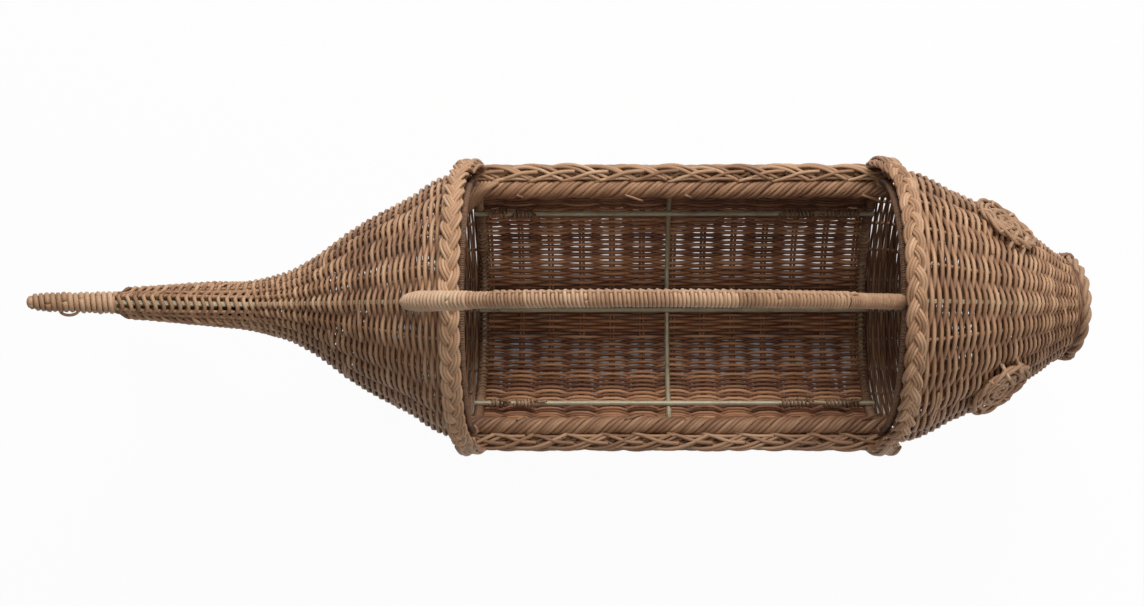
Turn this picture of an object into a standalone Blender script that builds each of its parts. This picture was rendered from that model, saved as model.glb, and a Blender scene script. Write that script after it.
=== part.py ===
"""A fish-shaped wicker basket with an arched carrying bar, in metres, +Z up.

The fish swims along +X. Its open trough lies between two oval hoops, the head closes down to a
mouth and the tail narrows and then opens into an upright fin with two horns. The origin is under
the middle of the fish, on the surface that the flat belly rests on.
"""

import math

import bmesh
import bpy
import numpy as np
from mathutils import Vector

# Working clearance between touching pieces, and the wall of the weave
CLEARANCE = 0.0003
WEAVE_THICKNESS = 0.007

# Lengths along the fish, one after the other
HORN_LENGTH = 0.0516
TAIL_LENGTH = 0.2442
TROUGH_LENGTH = 0.3243
HEAD_LENGTH = 0.136
LIP_LEAN = 0.005

# The oval body at its hoops, measured to the middle of the weave
BODY_HALF_WIDTH = 0.102
BODY_HALF_HEIGHT = 0.1365
BELLY_SHARE = 1.03
HOOP_LEAN = 0.0035

# The tail: its narrow part, its fin and the notch between the two lobes
FIN_NOTCH = 0.034
TAIL_RISE = 0.010
FIN_FULLNESS = 3.6
OVAL_FULLNESS = 2.0
NOTCH_CURVE = 1.5
TAIL_WIDTH_SHARES = (
    (0.0, 1.0), (0.08, 0.945), (0.172, 0.80), (0.264, 0.685), (0.36, 0.545), (0.458, 0.37),
    (0.55, 0.245), (0.652, 0.18), (0.755, 0.145), (0.877, 0.12), (1.0, 0.09),
)
TAIL_HEIGHT_SHARES = (
    (0.0, 1.0), (0.10, 0.955), (0.19, 0.865), (0.28, 0.75), (0.375, 0.62), (0.47, 0.485),
    (0.56, 0.39), (0.63, 0.355), (0.71, 0.38), (0.80, 0.48), (0.90, 0.63), (1.0, 0.76),
)
TAIL_SPREAD_SHARE = 0.55

# The head and its mouth
MOUTH_DROP = 0.005
HEAD_WIDTH_SHARES = (
    (0.0, 1.0), (0.138, 0.985), (0.229, 0.93), (0.32, 0.86), (0.412, 0.81), (0.543, 0.72),
    (0.696, 0.605), (0.868, 0.475), (0.939, 0.40), (1.0, 0.36),
)
HEAD_HEIGHT_SHARES = (
    (0.0, 1.0), (0.15, 0.98), (0.33, 0.90), (0.55, 0.75), (0.75, 0.58), (0.90, 0.44), (1.0, 0.385),
)

# Frame wire, and where its long wires run
WIRE_RADIUS = 0.002
CHINE_ANGLE = math.radians(122)
RIB_SHARE = 0.485
HOOP_WRAP_WALL = 0.001
HOOP_WRAP_DROP = math.radians(84)

# Rims of the trough: how far the rope lies inside the middle of the weave
ROPE_RADIUS = 0.0085
ROPE_INSET = 0.009
PLAIT_WIDTH = 0.010
PLAIT_HEIGHT = 0.014

# Braided borders over the two hoops, and how far off the hoops' planes their middles lie
BRAID_HALF_WIDTH = 0.0075
BRAID_HALF_DEPTH = 0.005
TAIL_BRAID_OFFSET = 0.0034
HEAD_BRAID_OFFSET = 0.0026
BRAID_REACH = math.radians(90)

# Carrying bar
BAR_CORE_RADIUS = 0.003
BAR_RADIUS = 0.006
BAR_CROWN_HEIGHT = 0.350
BAR_TIP_REACH = 0.0323
BAR_TIP_RADIUS = 0.0042
BAR_KNOB_RADIUS = 0.0074
BAR_KNOB_LENGTH = 0.064
BAR_HEAD_WRAP_LENGTH = 0.050
BAR_HEAD_WRAP_RADIUS = 0.0058
BAR_SEAT_GAP = 0.0005
KNOB_SHARES = ((0.0, 0.0), (0.12, 0.55), (0.35, 1.0), (0.65, 0.9), (1.0, 0.35))

# Cane wound round the bar and the horns, and coiled into the eyes
CANE_RADIUS = 0.0011
LACING_TURNS = 24
LACING_START = 0.088
LACING_LENGTH = 0.214
HORN_TURNS = 8
HORN_BASE_RADIUS = 0.0052
HORN_TIP_RADIUS = 0.0028
HORN_TIP_RISE = 0.014
EYE_CANE_RADIUS = 0.0016
EYE_TURNS = 5
EYE_RADIUS = 0.0245
EYE_BORE = 0.004
EYE_PLACES = {
    "left": (0.0774, math.radians(50)),
    "right": (0.0715, math.radians(-59)),
}

# Lips, the fin's edge and the bindings on the chine wires
LIP_RADIUS = 0.0034
LIP_STEPS = 36
LIP_TIE_WALL = 0.0014
FIN_EDGE_RADIUS = 0.006
BINDING_WALL = 0.0024
TAIL_BINDING_LENGTH = 0.037
HEAD_BINDING_LENGTH = 0.066
BINDING_SETBACK = 0.004

# How finely the round shapes are cut
AROUND = 32
AROUND_MOUTH = 24
TAIL_STATIONS = 15
HEAD_STATIONS = 9
FIN_EDGE_STATIONS = 13
HORN_STATIONS = 5
BAR_STATIONS = 49
BAR_CORE_STATIONS = 25
BAR_WRAP_STATIONS = 17
KNOB_STATIONS = 9
BAR_HEAD_WRAP_STATIONS = 5
SLEEVE_SIDES = 8
BAR_SIDES = 10
ROPE_SIDES = 16
BORE_SIDES = 6
POINTS_PER_TURN = 10
POINTS_PER_EYE_TURN = 14
BAR_SETTLING_ROUNDS = 12
LEAST_TURN = math.radians(3)
SMALL_SHARE = 0.01
SHARP_ANGLE = math.radians(40)

# Places that follow from the sizes above
LIP_STANDOFF = LIP_RADIUS + CLEARANCE
LIP_DEPTH = LIP_STANDOFF + LIP_LEAN + LIP_RADIUS
OVERALL = HORN_LENGTH + TAIL_LENGTH + TROUGH_LENGTH + HEAD_LENGTH + LIP_DEPTH
TAIL_HOOP_X = HORN_LENGTH + TAIL_LENGTH - OVERALL / 2
HEAD_HOOP_X = TAIL_HOOP_X + TROUGH_LENGTH
HALF_WALL = WEAVE_THICKNESS / 2
MIDDLE_HEIGHT = BODY_HALF_HEIGHT + HALF_WALL
RIM_HEIGHT = MIDDLE_HEIGHT
ROPE_HALF_SPREAD = BODY_HALF_WIDTH - ROPE_INSET
TAIL, HEAD = -1, 1


def clear_scene():
    for old in list(bpy.data.objects):
        bpy.data.objects.remove(old, do_unlink=True)


def finish(name, colour, roughness=0.6, metallic=0.0):
    """A plain material in one colour."""
    material = bpy.data.materials.new(name)
    material.use_nodes = True
    shader = material.node_tree.nodes["Principled BSDF"]
    shader.inputs["Base Color"].default_value = (*colour, 1)
    shader.inputs["Roughness"].default_value = roughness
    shader.inputs["Metallic"].default_value = metallic
    material.diffuse_color = (*colour, 1)
    return material


def place(obj, material):
    """Puts a new object into the scene under the basket's own empty."""
    bpy.context.scene.collection.objects.link(obj)
    obj.parent = bpy.data.objects["basket"]
    if material:
        obj.data.materials.append(material)
    return obj


def lofted(name, outer, material, inner=None, around=True):
    """A closed solid through rows of points, hollow where inner rows are given.

    around closes each row on itself.
    """
    mesh = bmesh.new()

    def skin(rows):
        made = [[mesh.verts.new(point) for point in row] for row in rows]
        for first, second in zip(made, made[1:]):
            strip(first, second)
        return made

    def strip(one, other):
        steps = len(one) if around else len(one) - 1
        for step in range(steps):
            after = (step + 1) % len(one)
            mesh.faces.new((one[step], one[after], other[after], other[step]))

    outside = skin(outer)
    if inner is None:
        mesh.faces.new(outside[0])
        mesh.faces.new(outside[-1])
    else:
        inside = skin(inner)
        strip(outside[0], inside[0])
        strip(outside[-1], inside[-1])
        if not around:
            for index in range(len(outer) - 1):
                for side in (0, -1):
                    mesh.faces.new((
                        outside[index][side], outside[index + 1][side],
                        inside[index + 1][side], inside[index][side],
                    ))
    bmesh.ops.recalc_face_normals(mesh, faces=mesh.faces)
    data = bpy.data.meshes.new(name)
    mesh.to_mesh(data)
    mesh.free()
    data.shade_smooth()
    data.set_sharp_from_angle(angle=SHARP_ANGLE)
    return place(bpy.data.objects.new(name, data), material)


def wire(name, points, radius, material, closed=False, resolution=2):
    """A round wire or cane along a line of points, as a bevelled curve with filled ends."""
    curve = bpy.data.curves.new(name, "CURVE")
    curve.dimensions = "3D"
    curve.bevel_depth = radius
    curve.bevel_resolution = resolution
    curve.use_fill_caps = not closed
    spline = curve.splines.new("POLY")
    spline.points.add(len(points) - 1)
    for spot, point in zip(spline.points, points):
        spot.co = (*point, 1)
    spline.use_cyclic_u = closed
    return place(bpy.data.objects.new(name, curve), material)


def smooth_share(table, along):
    """A share read from a hand-chosen table, on a smooth curve through its places."""
    places = np.array([place for place, _ in table])
    shares = np.array([share for _, share in table])
    slopes = np.gradient(shares, places)
    index = int(np.clip(np.searchsorted(places, along, side="right") - 1, 0, len(places) - 2))
    span = places[index + 1] - places[index]
    part = (along - places[index]) / span
    rise = shares[index + 1] - shares[index]
    start, end = slopes[index] * span, slopes[index + 1] * span
    bend = part * (1 - part)
    return float(shares[index] + part * rise + bend * ((1 - part) * (start - rise) - part * (end - rise)))


def ease(part):
    """Rises smoothly from 0 to 1."""
    part = min(max(part, 0), 1)
    return part * part * (3 - 2 * part)


def oval(angle, half_width, half_height, fullness=OVAL_FULLNESS):
    """The body's section at an angle from the top: an oval with a flat belly."""
    power = 2 / fullness
    side = math.copysign(abs(math.sin(angle)) ** power, math.sin(angle))
    rise = math.copysign(abs(math.cos(angle)) ** power, math.cos(angle))
    if rise < 0:
        rise = max(-1, rise * BELLY_SHARE)
    return side * half_width, rise * half_height


def hoop_x(end, height):
    """Where a hoop's plane stands at a height over the middle: the tops lean together."""
    base = HEAD_HOOP_X if end == HEAD else TAIL_HOOP_X
    return base - end * HOOP_LEAN * height / BODY_HALF_HEIGHT


def trough_point(angle, inset=0.0):
    """The trough's section, moved inwards from the middle of its weave."""
    return oval(angle, BODY_HALF_WIDTH - inset, BODY_HALF_HEIGHT - inset)


def head_point(along, angle, proud=0.0):
    """A point of the head, at a share of its length from the hoop."""
    width = BODY_HALF_WIDTH * smooth_share(HEAD_WIDTH_SHARES, along) + proud
    height = BODY_HALF_HEIGHT * smooth_share(HEAD_HEIGHT_SHARES, along) + proud
    y, rise = oval(angle, width, height)
    lean = hoop_x(HEAD, rise) - HEAD_HOOP_X
    x = HEAD_HOOP_X + along * HEAD_LENGTH + lean * (1 - ease(along))
    return Vector((x, y, MIDDLE_HEIGHT - MOUTH_DROP * ease(along) + rise))


def tail_point(along, angle, proud=0.0):
    """A point of the tail, at a share of its length from the hoop to the lobes' ends."""
    width = BODY_HALF_WIDTH * smooth_share(TAIL_WIDTH_SHARES, along) + proud
    height = BODY_HALF_HEIGHT * smooth_share(TAIL_HEIGHT_SHARES, along) + proud
    opened = ease((along - TAIL_SPREAD_SHARE) / (1 - TAIL_SPREAD_SHARE))
    fullness = OVAL_FULLNESS + (FIN_FULLNESS - OVAL_FULLNESS) * opened
    y, rise = oval(angle, width, height, fullness)
    lean = hoop_x(TAIL, rise) - TAIL_HOOP_X
    level = 1 - abs(rise / height) ** NOTCH_CURVE
    x = TAIL_HOOP_X - along * TAIL_LENGTH + lean * (1 - ease(along)) + FIN_NOTCH * opened * level
    return Vector((x, y, MIDDLE_HEIGHT + TAIL_RISE * ease(along) + rise))


def angles(count=AROUND):
    return [math.tau * step / count for step in range(count)]


def turn_under(start):
    """The body's own angles from one side to the other under the belly, so that walls and wires fit."""
    first = start + LEAST_TURN
    between = [angle for angle in angles() if first < angle < math.tau - first]
    return [start, *between, math.tau - start]


def turn_over(reach):
    """The body's own angles over the back, as far down each side as the reach."""
    half = [angle for angle in angles() if angle <= reach]
    return [-angle for angle in reversed(half[1:])] + half


def shares(count):
    return [step / (count - 1) for step in range(count)]


def cone_weave(name, point, stations, end, material):
    """The woven head or tail, a thin shell open at both of its ends."""
    def rows(proud):
        made = [[point(along, angle, proud) for angle in angles()] for along in shares(stations)]
        for spot in made[0]:
            spot.x += end * CLEARANCE / 2
        return made

    return lofted(name, rows(HALF_WALL), material, inner=rows(-HALF_WALL))


def frames(path):
    """At each point of a line: along it, and two directions square to it that never twist."""
    path = [Vector(point) for point in path]
    along = []
    for index in range(len(path)):
        before, after = path[max(index - 1, 0)], path[min(index + 1, len(path) - 1)]
        along.append((after - before).normalized())
    across = along[0].orthogonal().normalized()
    made = []
    for direction in along:
        across = (across - direction * across.dot(direction)).normalized()
        made.append((direction, across, direction.cross(across)))
    return made


def tube_rows(path, radii, sides):
    """Circles along a line, for a sleeve or a tapering round bar."""
    rows = []
    for point, radius, (_, across, up) in zip(path, radii, frames(path)):
        row = []
        for angle in angles(sides):
            row.append(Vector(point) + across * radius * math.cos(angle) + up * radius * math.sin(angle))
        rows.append(row)
    return rows


def sleeve(name, path, outer, inner, material, sides=SLEEVE_SIDES):
    """A sleeve along a line, with a bore of one radius."""
    outside = tube_rows(path, outer, sides)
    inside = tube_rows(path, [inner] * len(path), sides)
    return lofted(name, outside, material, inner=inside)


def measured(path):
    """How far along a line each of its points lies."""
    steps = [0.0]
    for one, two in zip(path, path[1:]):
        steps.append(steps[-1] + (Vector(two) - Vector(one)).length)
    return steps


def part_of(path, start, end, count):
    """Points evenly spread along a stretch of a line."""
    steps = measured(path)
    spots = np.linspace(start, end, count)
    axes = [np.interp(spots, steps, [point[axis] for point in path]) for axis in range(3)]
    return [Vector(spot) for spot in zip(*axes)]


def wound(path, start, end, turns, radius_at):
    """A winding round a line, with ends that run straight for one cane's width."""
    count = turns * POINTS_PER_TURN + 1
    line = part_of(path, start, end, count)
    made = []
    for step, (point, (_, across, up)) in enumerate(zip(line, frames(line))):
        turn = math.tau * step / POINTS_PER_TURN
        radius = radius_at(step / (count - 1))
        made.append(point + across * radius * math.cos(turn) + up * radius * math.sin(turn))
    return with_straight_ends(made, CANE_RADIUS)


def with_straight_ends(line, radius):
    first = line[0] + (line[0] - line[1]).normalized() * 2 * radius
    last = line[-1] + (line[-1] - line[-2]).normalized() * 2 * radius
    return [first, *line, last]


def report_gap(name, line, radius, points_per_turn=POINTS_PER_TURN):
    """Prints the least gap of a winding to itself, measured between its own turns."""
    spots = np.array([tuple(point) for point in line])
    apart = np.linalg.norm(spots[:, None] - spots[None, :], axis=2)
    order = np.arange(len(spots))
    far = np.abs(order[:, None] - order[None, :]) > points_per_turn // 2
    gap = apart[far].min() - 2 * radius
    print(f"{name}: least gap to itself {gap * 1000:.2f} mm")


def make_weaves(cane):
    trough_weave(cane)
    head = cone_weave("head_weave", head_point, HEAD_STATIONS, HEAD, cane)
    tail = cone_weave("tail_weave", tail_point, TAIL_STATIONS, TAIL, cane)
    return head, tail


def wall_top_angle():
    """Where the trough's wall ends under its rope rim."""
    inner = BODY_HALF_WIDTH - HALF_WALL
    reach = ROPE_RADIUS + CLEARANCE
    drop = math.sqrt(reach**2 - (inner - ROPE_HALF_SPREAD) ** 2)
    rise = RIM_HEIGHT - drop - MIDDLE_HEIGHT
    return math.acos(rise / (BODY_HALF_HEIGHT * BELLY_SHARE))


def trough_weave(material):
    """The trough's wall, from rim to rim under the belly, between the planes of the hoops."""
    turn = turn_under(wall_top_angle())

    def row(end, inset):
        made = []
        for angle in turn:
            y, rise = trough_point(angle, inset)
            x = hoop_x(end, rise) - end * CLEARANCE / 2
            made.append(Vector((x, y, MIDDLE_HEIGHT + rise)))
        return made

    outer = [row(TAIL, -HALF_WALL), row(HEAD, -HALF_WALL)]
    inner = [row(TAIL, HALF_WALL), row(HEAD, HALF_WALL)]
    lofted("trough_weave", outer, material, inner=inner, around=False)


def frame_inset(layer):
    """How far a frame wire's centre lies inside the middle of the weave, in its first or second layer."""
    return HALF_WALL + CLEARANCE + WIRE_RADIUS + layer * (2 * WIRE_RADIUS + CLEARANCE)


def hoop_setback():
    """The hoops stand on the trough's side of the weaves' edges, with room for their wrapping."""
    return WIRE_RADIUS + HOOP_WRAP_WALL + 2 * CLEARANCE


def hoop_path(end, turn):
    line = []
    for angle in turn:
        y, rise = trough_point(angle, frame_inset(0))
        line.append(Vector((hoop_x(end, rise) - end * hoop_setback(), y, MIDDLE_HEIGHT + rise)))
    return line


def make_hoops(paint, cane):
    for end, name in ((TAIL, "tail"), (HEAD, "head")):
        wire(f"{name}_hoop", hoop_path(end, angles()), WIRE_RADIUS, paint, closed=True, resolution=1)
        path = hoop_path(end, turn_over(HOOP_WRAP_DROP))
        outer = WIRE_RADIUS + CLEARANCE + HOOP_WRAP_WALL
        sleeve(f"{name}_hoop_wrap", path, [outer] * len(path), WIRE_RADIUS + CLEARANCE, cane)


def make_mid_rib(paint):
    """The U-shaped rib under the trough, from rope to rope."""
    x = TAIL_HOOP_X + TROUGH_LENGTH * RIB_SHARE
    reach = wall_top_angle() + math.asin((ROPE_RADIUS / 2 + WIRE_RADIUS) / BODY_HALF_HEIGHT)
    line = []
    for angle in turn_under(reach):
        y, rise = trough_point(angle, frame_inset(0))
        line.append(Vector((x, y, MIDDLE_HEIGHT + rise)))
    wire("mid_rib", line, WIRE_RADIUS, paint, resolution=1)


def long_wire_ends(rise):
    """A long wire runs from hoop to hoop, across the inner side of both."""
    overrun = 2 * WIRE_RADIUS
    return (
        hoop_x(TAIL, rise) + hoop_setback() - overrun,
        hoop_x(HEAD, rise) - hoop_setback() + overrun,
    )


def straight(x_start, x_end, y, z):
    return [Vector((x_start, y, z)), Vector((x_end, y, z))]


def make_long_wires(paint, cane):
    y, rise = trough_point(math.pi, frame_inset(1))
    wire("keel_wire", straight(*long_wire_ends(rise), 0, MIDDLE_HEIGHT + rise), WIRE_RADIUS, paint)
    for side, name in ((1, "left"), (-1, "right")):
        y, rise = trough_point(side * CHINE_ANGLE, frame_inset(1))
        start, end = long_wire_ends(rise)
        z = MIDDLE_HEIGHT + rise
        wire(f"{name}_chine_wire", straight(start, end, y, z), WIRE_RADIUS, paint)
        outer = WIRE_RADIUS + CLEARANCE + BINDING_WALL
        first = start + 4 * WIRE_RADIUS + BINDING_SETBACK
        last = end - 4 * WIRE_RADIUS - BINDING_SETBACK
        for label, one, two in (
            ("rear", first, first + TAIL_BINDING_LENGTH),
            ("front", last - HEAD_BINDING_LENGTH, last),
        ):
            path = straight(one, two, y, z)
            sleeve(f"{name}_{label}_binding", path, [outer] * 2, WIRE_RADIUS + CLEARANCE, cane)


def make_wall_wires(paint, head, tail):
    """The wires along the back and belly that the head's and tail's weaves pass over and under."""
    for shell, point, stations, name in (
        (head, head_point, HEAD_STATIONS, "head"),
        (tail, tail_point, TAIL_STATIONS, "tail"),
    ):
        for angle, side in ((0.0, "ridge"), (math.pi, "belly")):
            path = [point(along, angle) for along in shares(stations)]
            wire(f"{name}_{side}_wire", shortened(path, WIRE_RADIUS), WIRE_RADIUS, paint, resolution=1)
            bore_wall(shell, path, side)


def shortened(path, length):
    """The line with both of its ends drawn back."""
    first = path[0] + (path[1] - path[0]).normalized() * length
    last = path[-1] + (path[-2] - path[-1]).normalized() * length
    return [first, *path[1:-1], last]


def bore_wall(shell, path, label):
    """Cuts the way for a wire through the middle of a shell's wall, from edge to edge."""
    line = shortened(path, -WEAVE_THICKNESS)
    line[1:1] = [path[0]]
    line[-1:-1] = [path[-1]]
    bore = WIRE_RADIUS + CLEARANCE
    rows = tube_rows(line, [bore] * len(line), BORE_SIDES)
    cutter = lofted(f"{shell.name}_{label}_bore", rows, None)
    cutter.hide_render = True
    cutter.display_type = "WIRE"
    cut = shell.modifiers.new(f"{label} bore", "BOOLEAN")
    cut.operation = "DIFFERENCE"
    cut.solver = "EXACT"
    cut.object = cutter


def rim_ends():
    """The rims run from hoop to hoop and butt against both."""
    rise = RIM_HEIGHT - MIDDLE_HEIGHT
    clear = hoop_setback() + WIRE_RADIUS + CLEARANCE
    return hoop_x(TAIL, rise) + clear, hoop_x(HEAD, rise) - clear


def make_rims(paint, cane):
    """On each long side: a rope laid round a rim wire, and a plaited border outside it."""
    start, end = rim_ends()
    for side, name in ((1, "left"), (-1, "right")):
        y = side * ROPE_HALF_SPREAD
        path = straight(start, end, y, RIM_HEIGHT)
        wire(f"{name}_rim_wire", path, WIRE_RADIUS, paint)
        bore = WIRE_RADIUS + CLEARANCE
        sleeve(f"{name}_rope_rim", path, [ROPE_RADIUS] * 2, bore, cane, sides=ROPE_SIDES)
        plait_border(f"{name}_plait_border", side, start, end, cane)


def plait_border(name, side, start, end, material):
    """A flat border of crossing canes, standing on the wall's top edge outside the rope."""
    _, rise = trough_point(wall_top_angle(), 0)
    low = MIDDLE_HEIGHT + rise + CLEARANCE
    near = ROPE_HALF_SPREAD + ROPE_RADIUS + CLEARANCE
    far = near + PLAIT_WIDTH
    high = low + PLAIT_HEIGHT
    round_off = PLAIT_WIDTH / 4
    outline = (
        (near, low + round_off), (near + round_off, low), (far - round_off, low),
        (far, low + round_off), (far, high - round_off), (far - round_off, high),
        (near + round_off, high), (near, high - round_off),
    )
    rows = [[Vector((x, side * y, z)) for y, z in outline] for x in (start, end)]
    lofted(name, rows, material)


def braid_path(end, turn):
    """The middle of a braided border, lying over the hoop and the weave's first rows."""
    lift = HALF_WALL + CLEARANCE + BRAID_HALF_DEPTH
    offset = HEAD_BRAID_OFFSET if end == HEAD else TAIL_BRAID_OFFSET
    line = []
    for angle in turn:
        y, rise = trough_point(angle, -lift)
        x = hoop_x(end, rise) + end * offset
        line.append((Vector((x, y, MIDDLE_HEIGHT + rise)), angle))
    return line


def make_braids(cane):
    for end, name in ((TAIL, "tail"), (HEAD, "head")):
        rows = []
        for point, angle in braid_path(end, turn_over(BRAID_REACH)):
            outward = Vector((0, math.sin(angle), math.cos(angle)))
            row = []
            for turn in angles(SLEEVE_SIDES):
                across = Vector((1, 0, 0)) * BRAID_HALF_WIDTH * math.cos(turn)
                row.append(point + across + outward * BRAID_HALF_DEPTH * math.sin(turn))
            rows.append(row)
        lofted(f"{name}_ring_braid", rows, cane)


def bar_path():
    """The carrying bar's line: from its tip on the tail's back, over the rear braid, to the front hoop.

    It is a cubic through four places. How high it lies over the braid depends on its own slope
    there, so the two are settled in a few rounds.
    """
    tip_x = TAIL_HOOP_X - BAR_TIP_REACH
    slope_line = [tail_point(BAR_TIP_REACH / TAIL_LENGTH, 0, HALF_WALL), tail_point(0, 0, HALF_WALL)]
    ridge = slope_line[0]
    lean = (slope_line[1].z - ridge.z) / (slope_line[1].x - ridge.x)
    tip_z = ridge.z + (BAR_TIP_RADIUS + BAR_SEAT_GAP) * math.sqrt(1 + lean**2)
    braid = braid_path(TAIL, [0])[0][0]
    hoop = hoop_path(HEAD, [0])[0]
    crown_x = (TAIL_HOOP_X + HEAD_HOOP_X) / 2
    crown_z = BAR_CROWN_HEIGHT - BAR_RADIUS
    slope = 1.0
    for _ in range(BAR_SETTLING_ROUNDS):
        rest = math.sqrt((BRAID_HALF_WIDTH * slope) ** 2 + BRAID_HALF_DEPTH**2)
        seat = (BAR_KNOB_RADIUS + BAR_SEAT_GAP) * math.sqrt(1 + slope**2)
        places = ((tip_x, tip_z), (braid.x, braid.z + rest + seat), (crown_x, crown_z), (hoop.x, hoop.z))
        cubic = np.polyfit([x for x, _ in places], [z for _, z in places], 3)
        slope = float(np.polyval(np.polyder(cubic), braid.x))
    line = []
    for share in shares(BAR_STATIONS):
        x = tip_x + (hoop.x - tip_x) * share
        line.append(Vector((x, 0, float(np.polyval(cubic, x)))))
    return line


def make_bar(paint, cane):
    """The bar: a wire core under a sleeve of wound cane, a knob at the tail, a fine wrap at the head."""
    path = bar_path()
    total = measured(path)[-1]
    wrap_clear = WIRE_RADIUS + CLEARANCE + HOOP_WRAP_WALL + CLEARANCE
    end = total - wrap_clear
    wire("bar_core", part_of(path, 0, end, BAR_CORE_STATIONS), BAR_CORE_RADIUS, paint, resolution=1)
    bore = BAR_CORE_RADIUS + CLEARANCE
    knob = part_of(path, 0, BAR_KNOB_LENGTH, KNOB_STATIONS)
    radii = []
    for share in shares(KNOB_STATIONS):
        swell = smooth_share(KNOB_SHARES, share)
        foot = BAR_TIP_RADIUS if share < KNOB_SHARES[2][0] else BAR_RADIUS - CLEARANCE
        radii.append(foot + (BAR_KNOB_RADIUS - foot) * swell)
    sleeve("bar_knob_wrap", knob, radii, bore, cane, sides=BAR_SIDES)
    front_start = end - BAR_HEAD_WRAP_LENGTH
    middle = part_of(path, BAR_KNOB_LENGTH + CLEARANCE, front_start - CLEARANCE, BAR_WRAP_STATIONS)
    sleeve("bar_wrap", middle, [BAR_RADIUS] * len(middle), bore, cane, sides=BAR_SIDES)
    front = part_of(path, front_start, end, BAR_HEAD_WRAP_STATIONS)
    sleeve("bar_head_wrap", front, [BAR_HEAD_WRAP_RADIUS] * len(front), bore, cane, sides=BAR_SIDES)
    around = BAR_RADIUS + CLEARANCE + CANE_RADIUS
    lacing = wound(path, LACING_START, LACING_START + LACING_LENGTH, LACING_TURNS, lambda _: around)
    report_gap("bar_lacing", lacing, CANE_RADIUS)
    wire("bar_lacing", lacing, CANE_RADIUS, cane, resolution=1)


def make_eyes(cane):
    """Each eye is one cane coiled flat on the head's side."""
    for name, (distance, angle) in EYE_PLACES.items():
        along = distance / HEAD_LENGTH
        spot = head_point(along, angle, HALF_WALL)
        forward = (head_point(along + SMALL_SHARE, angle, HALF_WALL) - spot).normalized()
        round_it = (head_point(along, angle + LEAST_TURN, HALF_WALL) - spot).normalized()
        outward = round_it.cross(forward).normalized()
        if outward.y * math.sin(angle) < 0:
            outward = -outward
        centre = spot + outward * (EYE_CANE_RADIUS + CLEARANCE)
        side = outward.cross(forward).normalized()
        count = EYE_TURNS * POINTS_PER_EYE_TURN + 1
        line = []
        for share in shares(count):
            turn = math.tau * EYE_TURNS * share
            radius = EYE_BORE + (EYE_RADIUS - EYE_CANE_RADIUS - EYE_BORE) * share
            line.append(centre + forward * radius * math.cos(turn) + side * radius * math.sin(turn))
        line[:0] = [line[0] + (centre - line[0]).normalized() * 2 * EYE_CANE_RADIUS]
        line.append(line[-1] + (line[-1] - line[-2]).normalized() * 2 * EYE_CANE_RADIUS)
        report_gap(f"{name}_eye", line, EYE_CANE_RADIUS, POINTS_PER_EYE_TURN)
        wire(f"{name}_eye", line, EYE_CANE_RADIUS, cane, resolution=1)


def mouth_size():
    width = BODY_HALF_WIDTH * smooth_share(HEAD_WIDTH_SHARES, 1)
    height = BODY_HALF_HEIGHT * smooth_share(HEAD_HEIGHT_SHARES, 1)
    return width, height


def make_mouth(paint, cane):
    """The mouth's wire hoop, and the rope lips that lean forward off the weave's edge."""
    width, height = mouth_size()
    edge_x = HEAD_HOOP_X + HEAD_LENGTH
    centre_z = MIDDLE_HEIGHT - MOUTH_DROP
    line = []
    for angle in angles(AROUND_MOUTH):
        y, rise = oval(angle, width - frame_inset(0), height - frame_inset(0))
        line.append(Vector((edge_x - WIRE_RADIUS, y, centre_z + rise)))
    wire("mouth_hoop", line, WIRE_RADIUS, paint, closed=True, resolution=1)
    lips = [lip_point(angle) for angle in angles(LIP_STEPS)]
    wire("lip_ring", lips, LIP_RADIUS, cane, closed=True)
    for side, name in ((1, "left"), (-1, "right")):
        step = math.tau / LIP_STEPS
        tied = [lip_point(side * (math.pi / 2 + step * place)) for place in (-1, 0, 1)]
        bore = LIP_RADIUS + CLEARANCE
        sleeve(f"{name}_lip_tie", tied, [bore + LIP_TIE_WALL] * 3, bore, cane)


def lip_point(angle):
    width, height = mouth_size()
    y, rise = oval(angle, width, height)
    forward = LIP_STANDOFF + LIP_LEAN * (1 + rise / height) / 2
    return Vector((HEAD_HOOP_X + HEAD_LENGTH + forward, y, MIDDLE_HEIGHT - MOUTH_DROP + rise))


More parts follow.
